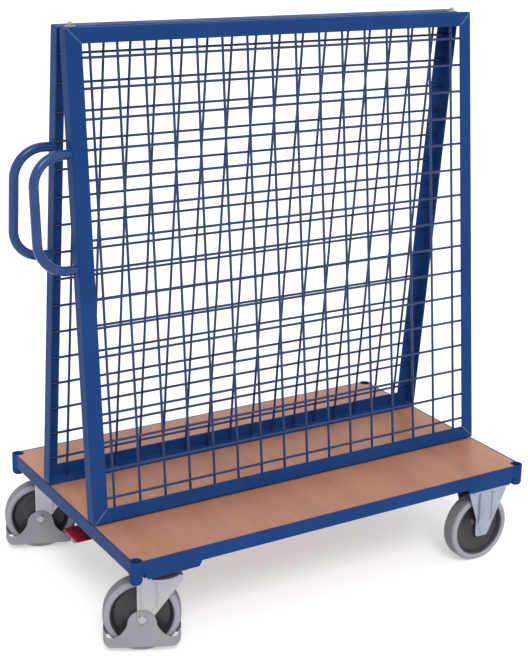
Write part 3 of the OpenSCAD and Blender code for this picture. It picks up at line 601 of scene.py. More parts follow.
@dataclass(frozen=True)
class Finish:
    """One finish: its name, the record's slot, its colours, and how rough, grained and dusty it is."""

    name: str
    slot: str
    colour: Colour
    shade: Colour
    rough_low: float = 0.35
    rough_high: float = 0.5
    metal: float = 0.0
    grain_scale: float = 900.0
    grain_depth: float = 0.02 * MM
    edge_reach: float = 0.9 * MM
    # Edge colour and its share: wear by rubbing, and painted highlights along bends and beads
    edge_wear_and_highlight_colour: Colour = (0.1, 0.18, 0.4)
    edge_wear_and_highlight_share: float = 0.35
    dust: float = 0.12
    dust_colour: Colour = (0.42, 0.4, 0.38)
    dust_rough: float = 0.5
    specular: float = 0.5

    def material(self, effects: Effects) -> bpy.types.Material:
        """Builds the material: coloured patches, edges lightened by rubbing and by painted highlights, dust,
        uneven gloss and fine bump.

        Args:
            effects: the node groups that the finishes share.

        Returns:
            The new material.
        """
        made = bpy.data.materials.new(self.name)
        made.use_nodes = True
        made.diffuse_color = (*self.colour, 1.0)
        tree = made.node_tree
        wire = Wiring(tree)
        shader = tree.nodes["Principled BSDF"]
        grain = wire.add("Group", {"Scale": self.grain_scale}, node_tree=effects.grain)
        edges = wire.add("Group", {"Reach": self.edge_reach}, node_tree=effects.edges)
        lying = wire.add("Group", {"Amount": self.dust}, node_tree=effects.dust).outputs["Mask"]
        # Edges lightened for wear by rubbing and for painted highlights
        rubbed_and_highlit = wire.times(edges.outputs["Mask"], self.edge_wear_and_highlight_share)
        colour = wire.blend(rubbed_and_highlit, self.colouring(wire, grain), self.edge_wear_and_highlight_colour)
        tree.links.new(wire.blend(lying, colour, self.dust_colour), shader.inputs["Base Color"])
        rough = wire.plus(self.roughness(wire, grain), wire.times(lying, self.dust_rough), clamp=True)
        tree.links.new(rough, shader.inputs["Roughness"])
        feeds = {"Height": self.relief(wire, grain), "Distance": self.grain_depth, "Strength": 1.0}
        bump = wire.add("Bump", {**feeds, "Normal": edges.outputs["Normal"]})
        tree.links.new(bump.outputs["Normal"], shader.inputs["Normal"])
        shader.inputs["Metallic"].default_value = self.metal
        self.tune(shader)
        return made

    def colouring(self, wire: Wiring, grain: Node) -> Output:
        """Main colour drifting towards the shade in slow patches."""
        return wire.blend(grain.outputs["Patch"], self.colour, self.shade)

    def roughness(self, wire: Wiring, grain: Node) -> Output:
        """Gloss that varies with the slow patches and the specks."""
        slow = wire.span(grain.outputs["Patch"], 0.0, 1.0, self.rough_low, self.rough_high)
        return wire.plus(slow, wire.times(grain.outputs["Speck"], 0.06))

    def relief(self, wire: Wiring, grain: Node) -> Output:
        """Height of the surface's fine texture."""
        return grain.outputs["Height"]

    def tune(self, shader: Node) -> None:
        """Sets the shader's plain values."""
        shader.inputs["Specular IOR Level"].default_value = self.specular


@dataclass(frozen=True)
class PowderCoat(Finish):
    """Baked powder paint with the slight waviness of orange peel."""

    peel_scale: float = 260.0

    def relief(self, wire: Wiring, grain: Node) -> Output:
        """Orange peel: waves about four millimetres long under a finer grain."""
        waves = wire.noise(wire.spot(), self.peel_scale, detail=1.0, rough=0.4)
        return wire.plus(waves, wire.times(grain.outputs["Height"], 0.25))


@dataclass(frozen=True)
class ZincPlate(Finish):
    """Bright zinc on pressed sheet, with drawn streaks, cloudy passivation and painted shade along the folds.
    """

    streak_stretch: float = 0.06
    # Colour and strength of the painted shade along the folds
    fold_shade_colour: Colour = (0.12, 0.125, 0.15)
    fold_shade_share: float = 0.22

    def colouring(self, wire: Wiring, grain: Node) -> Output:
        """Clouded plating, with painted shade where the fold's attribute rises."""
        share = wire.times(wire.add("Attribute", attribute_name=FOLD_SHADE).outputs["Fac"], self.fold_shade_share)
        return wire.blend(share, super().colouring(wire, grain), self.fold_shade_colour)

    def _streaks(self, wire: Wiring) -> Output:
        """Lines drawn out along Z by the press."""
        drawn = wire.add("Mapping", {"Vector": wire.spot(), "Scale": (1.0, 1.0, self.streak_stretch)})
        return wire.noise(drawn.outputs["Vector"], 420.0, detail=3.0, rough=0.6)

    def roughness(self, wire: Wiring, grain: Node) -> Output:
        """Streaked gloss with duller clouds."""
        streak = wire.span(self._streaks(wire), 0.3, 0.7, self.rough_low, self.rough_high)
        return wire.plus(streak, wire.times(grain.outputs["Patch"], 0.08))

    def relief(self, wire: Wiring, grain: Node) -> Output:
        """Shallow drawn lines over the plating's grain."""
        return wire.plus(self._streaks(wire), wire.times(grain.outputs["Height"], 0.5))


@dataclass(frozen=True)
class BeechLaminate(Finish):
    """Beech-faced board: fibres across the trolley, with short dark flecks, under a satin seal."""

    fibre_scale: float = 320.0
    fleck: Colour = (0.2, 0.075, 0.04)
    sway: float = 0.035

    def _along_grain(self, wire: Wiring, stretch: float) -> Output:
        """Object position squeezed along Y, so that a pattern is drawn out along the grain.

        Args:
            wire: the material's wiring.
            stretch: what a length along Y is multiplied by.

        Returns:
            The squeezed position, which also sways a little along X.
        """
        spot = wire.spot()
        bend = wire.add("TexNoise", {"Vector": spot, "Scale": 2.6, "Detail": 2.0}).outputs["Color"]
        sway = wire.add("VectorMath", {0: bend, 1: (self.sway, 0.0, 0.0)}, operation="MULTIPLY")
        feeds = {0: spot, 1: sway.outputs["Vector"]}
        moved = wire.add("VectorMath", feeds, operation="ADD").outputs["Vector"]
        return wire.add("Mapping", {"Vector": moved, "Scale": (1.0, stretch, 1.0)}).outputs["Vector"]

    def colouring(self, wire: Wiring, grain: Node) -> Output:
        """Broad growth bands, fine fibres, and flecks two to five millimetres long.

        Args:
            wire: the material's wiring.
            grain: the material's node of the group for fine grain; not used.

        Returns:
            The board's colour.
        """
        bands = wire.noise(self._along_grain(wire, 0.1), 16.0, detail=3.0, rough=0.55)
        fibres = wire.noise(self._along_grain(wire, 0.04), self.fibre_scale, detail=3.0, rough=0.6)
        flecks = wire.noise(self._along_grain(wire, 0.2), 750.0, detail=1.0, rough=0.5)
        slow, fine = wire.span(bands, 0.3, 0.7), wire.span(fibres, 0.3, 0.7)
        share = wire.plus(wire.times(slow, 0.62), wire.times(fine, 0.38))
        board = wire.blend(share, self.colour, self.shade)
        return wire.blend(wire.times(wire.span(flecks, 0.66, 0.74), 0.35), board, self.fleck)

    def relief(self, wire: Wiring, grain: Node) -> Output:
        """Open pores along the fibres."""
        return wire.noise(self._along_grain(wire, 0.04), self.fibre_scale, detail=2.0, rough=0.6)


@dataclass(frozen=True)
class Moulding(Finish):
    """Moulded plastic or rubber: an even eroded grain, flow marks and scuffs."""

    def colouring(self, wire: Wiring, grain: Node) -> Output:
        """Flow patches with scattered lighter scuffs."""
        base = super().colouring(wire, grain)
        return wire.blend(wire.times(grain.outputs["Speck"], 0.12), base, self.dust_colour)


@dataclass(frozen=True)
class TyreRubber(Moulding):
    """Pale rubber whose tread, marked by the piece's own attribute, is darkened by use."""

    tread_colour: Colour = (0.2, 0.2, 0.225)

    def colouring(self, wire: Wiring, grain: Node) -> Output:
        """Wall colour, turning to the tread's where the attribute rises, with uneven floor marks.

        Args:
            wire: the material's wiring.
            grain: the material's node of the group for fine grain.

        Returns:
            The tyre's colour.
        """
        worn = wire.add("Attribute", attribute_name=TREAD).outputs["Fac"]
        uneven = wire.noise(wire.spot(), 90.0, detail=4.0, rough=0.65)
        marks = wire.span(uneven, 0.25, 0.75, to_low=0.75, to_high=1.0)
        return wire.blend(wire.times(worn, marks), super().colouring(wire, grain), self.tread_colour)


class Look(Enum):
    """The trolley's finishes."""

    # The blue finishes' light edge colours are painted highlights along bends and beads, besides wear by
    # rubbing
    BLUE_PAINT = PowderCoat(
        "blue powder coat", "blue_paint", (0.016, 0.059, 0.212), (0.013, 0.051, 0.187), 0.26, 0.36,
        grain_depth=0.03 * MM, edge_wear_and_highlight_colour=(0.13, 0.26, 0.52), edge_wear_and_highlight_share=0.7, dust=0.03, specular=0.03)
    BLUE_TUBE = PowderCoat(
        "blue coated tube", "blue_paint", (0.009, 0.052, 0.2), (0.008, 0.045, 0.178), 0.18, 0.26,
        grain_depth=0.02 * MM, edge_wear_and_highlight_colour=(0.1, 0.22, 0.48), dust=0.03, specular=0.42)
    # Weld beads lighter than the paint, with bright edges: painted highlight on the beads
    BLUE_WELD_PAINTED_HIGHLIGHT = PowderCoat(
        "blue weld with painted highlight", "blue_paint", (0.045, 0.12, 0.32), (0.022, 0.08, 0.25), 0.18, 0.3,
        grain_depth=0.04 * MM, edge_reach=1.2 * MM, edge_wear_and_highlight_colour=(0.3, 0.43, 0.68), edge_wear_and_highlight_share=0.75,
        dust=0.0, specular=0.6)
    BLUE_WIRE = PowderCoat(
        "blue coated wire", "blue_wire", (0.007, 0.034, 0.14), (0.006, 0.027, 0.118), 0.2, 0.3,
        grain_depth=0.03 * MM, edge_reach=0.5 * MM, edge_wear_and_highlight_colour=(0.05, 0.12, 0.32), dust=0.03,
        specular=0.4)
    BEECH = BeechLaminate(
        "beech laminate", "deck_laminate", (0.53, 0.242, 0.148), (0.425, 0.182, 0.107), 0.3, 0.42,
        grain_depth=0.03 * MM, edge_wear_and_highlight_colour=(0.36, 0.2, 0.12), edge_wear_and_highlight_share=0.5, dust=0.05, specular=0.35)
    # The zinc finishes darken the pressed folds with painted shade
    ZINC = ZincPlate(
        "bright zinc", "zinc_steel", (0.47, 0.46, 0.495), (0.39, 0.39, 0.43), 0.28, 0.44, metal=0.9,
        grain_depth=0.02 * MM, edge_wear_and_highlight_colour=(0.72, 0.72, 0.74), edge_wear_and_highlight_share=0.6, dust=0.08)
    BLUE_ZINC = ZincPlate(
        "blue passivated zinc", "zinc_steel", (0.37, 0.4, 0.48), (0.27, 0.3, 0.38), 0.24, 0.4, metal=0.9,
        grain_depth=0.02 * MM, edge_wear_and_highlight_colour=(0.66, 0.69, 0.74), edge_wear_and_highlight_share=0.6, dust=0.06, fold_shade_share=0.85)
    DARK_STEEL = ZincPlate(
        "oiled steel", "dark_steel", (0.2, 0.2, 0.21), (0.13, 0.13, 0.14), 0.35, 0.5, metal=0.9,
        grain_depth=0.03 * MM, edge_wear_and_highlight_colour=(0.4, 0.4, 0.4))
    GUARD = Moulding(
        "grey moulded guard", "grey_plastic", (0.34, 0.325, 0.365), (0.3, 0.285, 0.325), 0.48, 0.6,
        grain_scale=1500.0, grain_depth=0.05 * MM, edge_wear_and_highlight_colour=(0.42, 0.41, 0.44), dust=0.08, specular=0.35)
    RED_PAD = Moulding(
        "red moulded pad", "red_plastic", (0.3, 0.0015, 0.02), (0.21, 0.0015, 0.014), 0.36, 0.5,
        grain_scale=1400.0, grain_depth=0.04 * MM, edge_wear_and_highlight_colour=(0.42, 0.02, 0.05), dust=0.02, specular=0.12)
    CAGE = Moulding(
        "bearing cage", "bearing_plastic", (0.66, 0.64, 0.58), (0.58, 0.56, 0.5), 0.4, 0.55,
        edge_wear_and_highlight_colour=(0.75, 0.73, 0.68))
    HUB = Moulding(
        "dark moulded hub", "hub_plastic", (0.04, 0.037, 0.052), (0.027, 0.025, 0.036), 0.3, 0.44,
        grain_scale=1100.0, grain_depth=0.04 * MM, edge_wear_and_highlight_colour=(0.12, 0.115, 0.14), edge_wear_and_highlight_share=0.3,
        dust=0.1, specular=0.4)
    TYRE = TyreRubber(
        "grey tyre rubber", "grey_tyre", (0.38, 0.365, 0.425), (0.33, 0.315, 0.37), 0.5, 0.66,
        grain_scale=700.0, grain_depth=0.06 * MM, edge_wear_and_highlight_colour=(0.4, 0.39, 0.44), dust=0.08, specular=0.3)


# Making pieces


@dataclass
class Workshop:
    """Gives CAD nodes their finish and turns skins into pieces that ride on the frame's bodies."""

    nodes: dict[str, bpy.types.Object]
    effects: Effects = field(default_factory=Effects)
    stock: dict[str, bpy.types.Material] = field(default_factory=dict)

    def material(self, look: Look) -> bpy.types.Material:
        """Material of a finish, built the first time that it is asked for.

        Args:
            look: the finish.

        Returns:
            The finish's one material.
        """
        if look.name not in self.stock:
            self.stock[look.name] = look.value.material(self.effects)
        return self.stock[look.name]

    def dress(self, look: Look, *names: str) -> None:
        """Puts a finish on CAD nodes.

        Args:
            look: the finish.
            *names: the nodes' names.
        """
        for name in names:
            node = self.nodes[name]
            if not node.material_slots:
                node.data.materials.append(None)
            for place in node.material_slots:
                place.material = self.material(look)
            LOG.info("dressed %s in %s", name, look.value.name)

    def piece(
        self, name: str, skin: Skin, look: Look, body: str, *stands_for: str, sharp: float = 40.0,
    ) -> bpy.types.Object:
        """Makes a piece from a skin.

        Args:
            name: the piece's name.
            skin: its surface.
            look: its finish.
            body: the CAD body that it rides on.
            *stands_for: CAD nodes that it replaces.
            sharp: edges sharper than this many degrees stay crisp.

        Returns:
            The new object, at the origin.
        """
        mesh = skin.mesh(name, sharp)
        mesh.materials.append(self.material(look))
        made = bpy.data.objects.new(name, mesh)
        bpy.context.scene.collection.objects.link(made)
        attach(made, body)
        if stands_for:
            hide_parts(*stands_for)
        LOG.info("made %s: %d points, rides on %s", name, len(mesh.vertices), body)
        return made

    @staticmethod
    def mark(piece: bpy.types.Object, name: str, values: Array) -> None:
        """Stores one number for each of the piece's points as a named attribute."""
        stored = piece.data.attributes.new(name, "FLOAT", "POINT")
        stored.data.foreach_set("value", values.astype(np.float32))


# Sub-assemblies


@dataclass(frozen=True)
class Layout:
    """Sizes that more than one sub-assembly needs."""

    middle_x: float = 53.0 * MM
    frame_l: float = 1240.0 * MM
    frame_w: float = 790.0 * MM
    rim_z: float = 244.0 * MM
    deck_z: float = 284.0 * MM
    wheel_r: float = 100.0 * MM
    swivel_x: float = -517.0 * MM
    swivel_y: float = 333.0 * MM
    fixed_x: float = 516.0 * MM
    fixed_y: float = 343.0 * MM
    plate_z: float = 227.0 * MM
    plate_top: float = 232.0 * MM

    def middle(self) -> Place:
        """Place of the platform's middle."""
        return Place.shift(self.middle_x, 0.0, 0.0)


LAYOUT = Layout()


@dataclass(frozen=True)
class Bolt:
    """Sizes of a hexagon bolt and its nut."""

    diameter: float
    across: float
    head_h: float
    nut_h: float
    pitch: float

    def head(self) -> Array:
        """Head on z = 0."""
        return hexagon_block(self.across, self.head_h)

    def nut(self) -> Array:
        """Nut on z = 0."""
        return hexagon_block(self.across, self.nut_h, chamfer_low=True)

    def shank(self, length: float, sides: int = 28, per_turn: int = 6) -> Array:
        """Threaded shank that rises from z = 0 to its tip."""
        return threaded_end(self.diameter, length, self.pitch, sides, per_turn)

    def washer(self, radius: float, bottom: float, top: float, edge: float) -> Array:
        """Washer between two heights, whose hole fits the shank."""
        return disc(radius, bottom, top, edge, hole=self.diameter / 2)


M8 = Bolt(8.0 * MM, 13.0 * MM, 5.3 * MM, 6.5 * MM, 1.25 * MM)
M12 = Bolt(12.0 * MM, 19.0 * MM, 7.5 * MM, 10.0 * MM, 1.75 * MM)


@dataclass
class Platform:
    """Angle-steel rims, corner tubes, cross members, carriers, and the board with its screws."""

    tube_r: float = 16.85 * MM
    tube_stand: float = 5.0 * MM
    carrier_x: float = 508.0 * MM
    carrier_w: float = 158.0 * MM
    weld_half: float = 4.6 * MM
    weld_rise: float = 2.6 * MM
    weld_back: float = 1.6 * MM
    weld_above: float = 3.0 * MM
    weld_below: float = 2.0 * MM
    seam: float = 6.6 * MM
    seam_drop: float = 0.4 * MM
    seam_end: float = 1.0 * MM
    seam_rounds: Spot = (0.4 * MM, 0.5 * MM, 0.5 * MM)
    seam_ripple: float = 0.004
    seam_pitch: float = 3.0 * MM

    def _tube_welds(self) -> Skin:
        """Upright fillets where the rims' faces run into the corner tubes.

        Returns:
            Eight beads.
        """
        skin = Skin()
        half_l, half_w = LAYOUT.frame_l / 2, LAYOUT.frame_w / 2
        sunk = self.tube_r - self.tube_stand
        reach = math.sqrt(self.tube_r**2 - sunk**2)
        centre_x, centre_y = half_l + self.tube_stand - self.tube_r, half_w + self.tube_stand - self.tube_r
        low, high = LAYOUT.rim_z + self.weld_above, LAYOUT.deck_z - self.weld_below
        for sx, sy in product(SIGNS, SIGNS):
            for x, y, out in (
                (sx * (centre_x - reach - self.weld_back), sy * half_w, (0.0, sy, 0.0)),
                (sx * half_l, sy * (centre_y - reach - self.weld_back), (sx, 0.0, 0.0)),
            ):
                path = straight((x, y, low), (x, y, high))
                skin.add(bead(path, self.weld_half, self.weld_rise, out), Loop.POLES, LAYOUT.middle())
        return skin

    def _carrier_seams(self) -> Skin:
        """Seams dressed flush that fill the rims' bends above the carriers.

        Each is a triangle with rounded corners carried along X, and its size ripples a little.

        Returns:
            Four seams.
        """
        skin = Skin()
        half_w, low, fill = LAYOUT.frame_w / 2, LAYOUT.rim_z - self.seam_drop, self.seam
        corners = [(half_w, low), (half_w, low + fill), (half_w - fill, low)]
        outline = rounded_outline(corners, list(self.seam_rounds), 4)
        reach = self.carrier_w / 2 - self.seam_end
        along = np.linspace(-reach, reach, 80)
        wobble = 1.0 - self.seam_ripple * np.cos(FULL_TURN * along / self.seam_pitch)[:, None]
        for middle, side in product((-self.carrier_x, self.carrier_x), Side):
            x = np.broadcast_to((middle + along)[:, None], (along.size, len(outline)))
            y = side.value * (half_w - (half_w - outline[:, 0]) * wobble)
            z = low + (outline[:, 1] - low) * wobble
            skin.add(np.stack([x, y, z], -1), Loop.POLES, LAYOUT.middle())
        return skin

    def build(self, shop: Workshop) -> None:
        """Dresses the platform's nodes and adds its welds.

        Args:
            shop: makes and dresses the pieces.
        """
        shop.dress(Look.BLUE_PAINT, "right_rim", "left_rim", "front_rim", "rear_rim", "corner_tubes")
        shop.dress(Look.BLUE_PAINT, "cross_members", "castor_carriers")
        shop.dress(Look.BEECH, "deck_board")
        shop.dress(Look.ZINC, "deck_screws")
        shop.piece("corner_tube_welds", self._tube_welds(), Look.BLUE_PAINT, "frame")
        shop.piece("carrier_seams", self._carrier_seams(), Look.BLUE_PAINT, "frame")


@dataclass
class MeshPanel:
    """One leaning panel: four angle bars, sixteen wires each way, and its welds.

    The nuggets' sizes are half-axes along the panel, inwards and up it.
    """

    side: Side
    height: float = 1262.0 * MM
    lean: float = 5.5
    leg: float = 40.0 * MM
    ridge_gap: float = 16.0 * MM
    wire_d: float = 6.0 * MM
    wire_count: int = 16
    wire_side: float = 65.0 * MM
    wire_foot: float = 65.0 * MM
    wire_head: float = 74.0 * MM
    cross_y: float = 7.05 * MM
    coated_r: float = 3.5 * MM
    wire_set: float = 0.3 * MM
    wire_end: float = 6.0 * MM
    crossing_nugget: Spot = (3.7 * MM, 2.3 * MM, 3.7 * MM)
    end_nugget: Spot = (4.2 * MM, 3.9 * MM, 2.4 * MM)
    nugget_back: float = 5.2 * MM
    seam_start: float = 3.2 * MM
    seam_back: float = 0.6 * MM
    seam_half: float = 2.1 * MM
    seam_rise: float = 0.8 * MM
    seam_ripple: float = 2.6 * MM
    root_back: float = 5.0 * MM
    root_start: float = 6.0 * MM
    root_end: float = 34.0 * MM
    root_half: float = 2.4 * MM

    def place(self) -> Place:
        """Where the panel stands.

        Returns:
            The place whose x runs along the panel, y inwards and z up its slope.
        """
        lean = math.radians(self.lean)
        foot = self.height * math.sin(lean) + self.leg * math.cos(lean) + self.ridge_gap / 2
        raised = Place.shift(0.0, -foot, LAYOUT.deck_z + self.leg * math.sin(lean))
        stood = LAYOUT.middle() @ raised @ Place.turn("X", -self.lean)
        return Place.flip_y() @ stood if self.side is Side.LEFT else stood

    def _wire_grid(self) -> tuple[Array, Array]:
        """Where the wires run.

        Returns:
            Places of the upright wires along the panel, and of the cross wires up it.
        """
        half = LAYOUT.frame_l / 2 - self.wire_side
        along = np.linspace(-half, half, self.wire_count)
        return along, np.linspace(self.wire_foot, self.height - self.wire_head, self.wire_count)

    def _wires(self) -> Skin:
        """Round coated wires, each set a little into the other at every crossing.

        A wire's axis runs at y0 -/+ set * (1 + cos(2 pi u / pitch)) / 2, u from the nearest crossing,
        so the two layers close up where they are welded. Its section is a circle of the coated radius.

        Returns:
            All wires of the panel.
        """
        along, up = self._wire_grid()
        angle = np.arange(10) * FULL_TURN / 10
        ring_a, ring_b = self.coated_r * np.cos(angle), self.coated_r * np.sin(angle)
        skin = Skin()
        half, upright_y = LAYOUT.frame_l / 2, self.cross_y + self.wire_d
        for spots, others, low, high, base, way in (
            (along, up, self.wire_end, self.height - self.wire_end, upright_y, -1.0),
            (up, along, self.wire_end - half, half - self.wire_end, self.cross_y, 1.0),
        ):
            pitch = others[1] - others[0]
            steps = np.arange(others[0] - pitch / 2, others[-1] + 0.6 * pitch, pitch / 6)
            run = np.concatenate([[low], steps, [high]])
            bend = base + way * self.wire_set * (1.0 + np.cos(FULL_TURN * (run - others[0]) / pitch)) / 2
            shape = (spots.size, run.size, angle.size)
            across = np.broadcast_to(spots[:, None, None] + ring_a, shape)
            deep = np.broadcast_to(bend[None, :, None] + ring_b, shape)
            length = np.broadcast_to(run[None, :, None], shape)
            order = [across, deep, length] if spots is along else [length, deep, across]
            skin.add(np.stack(order, -1), Loop.POLES, self.place())
        return skin

    def _spot_welds(self) -> Skin:
        """Flattened nuggets where the wires cross, and blobs where their ends meet the bars.

        Returns:
            All nuggets of the panel.
        """
        along, up = self._wire_grid()
        across, rising = np.meshgrid(along, up)
        crossings = scattered(across, self.cross_y + self.wire_d / 2, rising)
        skin = Skin().add(blobs(crossings, self.crossing_nugget), Loop.POLES, self.place())
        half, upright_y = LAYOUT.frame_l / 2, self.cross_y + self.wire_d
        for level in (self.nugget_back, self.height - self.nugget_back):
            ends = scattered(along, upright_y, level)
            skin.add(blobs(ends, self.end_nugget), Loop.POLES, self.place())
        for reach in (self.nugget_back - half, half - self.nugget_back):
            ends = scattered(reach, self.cross_y, up)
            skin.add(blobs(ends, self.end_nugget[::-1]), Loop.POLES, self.place())
        return skin

    def _mitre_welds(self) -> Skin:
        """Low beads, dressed down after welding, along the four mitres, and beads in the outer corners.

        Returns:
            Eight beads.
        """
        skin = Skin()
        half = LAYOUT.frame_l / 2
        for sx, (foot, way) in product(SIGNS, ((0.0, 1), (self.height, -1))):
            outer = (sx * (half - self.seam_start), 0.0, foot + way * self.seam_start)
            inner = (sx * (half - self.leg + self.seam_back), 0.0, foot + way * (self.leg - self.seam_back))
            mitre = straight(outer, inner)
            face = bead(mitre, self.seam_half, self.seam_rise, (0.0, -1.0, 0.0), self.seam_ripple)
            skin.add(face, Loop.POLES, self.place())
            x, z = sx * (half - self.root_back), foot + way * self.root_back
            corner = straight((x, self.root_start, z), (x, self.root_end, z))
            root = bead(corner, self.root_half, self.root_half, (sx, 0.0, way))
            skin.add(root, Loop.POLES, self.place())
        return skin

    def build(self, shop: Workshop) -> None:
        """Dresses the panel's nodes and adds its wires and welds.

        Args:
            shop: makes and dresses the pieces.
        """
        name = self.side.word
        bars = ("bottom_rail", "top_rail", "rear_stile", "front_stile")
        shop.dress(Look.BLUE_PAINT, *(f"{name}_{bar}" for bar in bars))
        shop.piece(f"{name}_mesh_wires", self._wires(), Look.BLUE_WIRE, "frame", f"{name}_mesh")
        shop.piece(f"{name}_mesh_welds", self._spot_welds(), Look.BLUE_WIRE, "frame")
        # Mitre beads take the lighter finish that paints their highlight
        shop.piece(f"{name}_mitre_welds", self._mitre_welds(), Look.BLUE_WELD_PAINTED_HIGHLIGHT, "frame")


@dataclass
class PushHandle:
    """Bent tube on the rear stile of one panel, with a weld round each end."""

    panel: MeshPanel
    tube_r: float = 12.5 * MM
    height: float = 288.0 * MM
    middle_z: float = 812.0 * MM
    weld_out: float = 0.7 * MM
    weld_half: float = 1.7 * MM
    weld_rise: float = 1.5 * MM
    weld_set: float = 0.2 * MM
    ripples: float = 26.0
    ripple_share: float = 0.1

    def _collars(self) -> Skin:
        """Weld rings: the bead's path is a circle round each arm, on the stile's face.

        Returns:
            Two rings.
        """
        skin = Skin()
        angle = np.linspace(0.0, FULL_TURN, 97)[:-1]
        radius = self.tube_r + self.weld_out
        ripple = 1.0 + self.ripple_share * np.cos(angle * self.ripples)
        section = np.arange(10) * FULL_TURN / 10
        out = radius + self.weld_half * ripple[:, None] * np.cos(section)
        lift = self.weld_rise * ripple[:, None] * np.sin(section)
        for side in SIGNS:
            y = self.panel.leg / 2 + out * np.cos(angle)[:, None]
            z = self.middle_z + side * self.height / 2 + out * np.sin(angle)[:, None]
            ring = np.stack([-LAYOUT.frame_l / 2 - self.weld_set + lift, y, z], -1)
            skin.add(ring, Loop.ROUND, self.panel.place())
        return skin

    def build(self, shop: Workshop) -> None:
        """Dresses the handle and adds its welds.

        Args:
            shop: makes and dresses the pieces.
        """
        name = self.panel.side.word
        shop.dress(Look.BLUE_TUBE, f"{name}_handle")
        shop.piece(f"{name}_handle_welds", self._collars(), Look.BLUE_TUBE, "frame")


@dataclass
class Ridge:
    """Tie plates under the ridge and the two bolts that draw the panels together."""

    bolt_x: float = 588.0 * MM
    washer_r: float = 14.0 * MM
    washer_t: float = 2.0 * MM
    washer_edge: float = 0.4 * MM
    gap: float = 0.02 * MM
    tip: float = 3.0 * MM

    def _bolts(self) -> Skin:
        """Heads, shanks, washers, nuts and threaded tips, between the CAD node's own heights.

        Returns:
            Both bolts.
        """
        low, high = (corner.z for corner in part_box("ridge_bolts"))
        nut_low = high - self.tip - M8.nut_h
        shank_low = low + M8.head_h / 2
        skin = Skin()
        for sx in SIGNS:
            stand = LAYOUT.middle() @ Place.shift(sx * self.bolt_x, 0.0, 0.0)
            head = Place.lift(low + M8.head_h) @ Place.turn("X", 180.0)
            skin.add(M8.head(), Loop.POLES, stand @ head)
            skin.add(M8.nut(), Loop.POLES, stand @ Place.lift(nut_low))
            ring = M8.washer(self.washer_r, nut_low - self.washer_t, nut_low - self.gap, self.washer_edge)
            skin.add(ring, Loop.ROUND, stand)
            skin.add(M8.shank(high - shank_low), Loop.POLES, stand @ Place.lift(shank_low))
        return skin

    def build(self, shop: Workshop) -> None:
        """Dresses the ties and makes the bolts."""
        shop.dress(Look.BLUE_PAINT, "ridge_ties")
        shop.piece("ridge_bolt_sets", self._bolts(), Look.ZINC, "frame", "ridge_bolts", sharp=25.0)


@dataclass
class CastorBolts:
    """The sixteen bolts that hold the castors' plates under the carriers."""

    pitch_x: float = 100.0 * MM
    pitch_y: float = 82.0 * MM
    sheet: float = 4.0 * MM
    gap: float = 0.02 * MM
    root: float = 1.0 * MM
    tail: float = 2.0 * MM

    def _bolts(self) -> Skin:
        """Heads above the carriers, nuts and threaded ends below the plates.

        Returns:
            All sixteen bolts.
        """
        skin = Skin()
        head_z = LAYOUT.plate_top + self.sheet + self.gap
        nut_z = LAYOUT.plate_z - M8.nut_h - self.gap
        shank = M8.shank(head_z + self.root - (nut_z - self.tail), 20, 4)
        plates = ((LAYOUT.swivel_x, LAYOUT.swivel_y), (LAYOUT.fixed_x, LAYOUT.fixed_y))
        for (x, y), side, dx, dy in product(plates, Side, SIGNS, SIGNS):
            spot = Place.shift(x + dx * self.pitch_x / 2, side.value * y + dy * self.pitch_y / 2, 0.0)
            stand = LAYOUT.middle() @ spot
            turned_down = Place.lift(head_z + self.root) @ Place.turn("X", 180.0)
            skin.add(M8.head(), Loop.POLES, stand @ Place.lift(head_z))
            skin.add(M8.nut(), Loop.POLES, stand @ Place.lift(nut_z))
            skin.add(shank, Loop.POLES, stand @ turned_down)
        return skin

    def build(self, shop: Workshop) -> None:
        """Makes the bolts and dresses the plates.

        Args:
            shop: makes and dresses the pieces.
        """
        shop.piece("castor_bolt_sets", self._bolts(), Look.ZINC, "frame", "castor_bolts", sharp=25.0)
        shop.dress(Look.ZINC, "swivel_plates", "kingpins")
        shop.dress(Look.DARK_STEEL, "swivel_races")


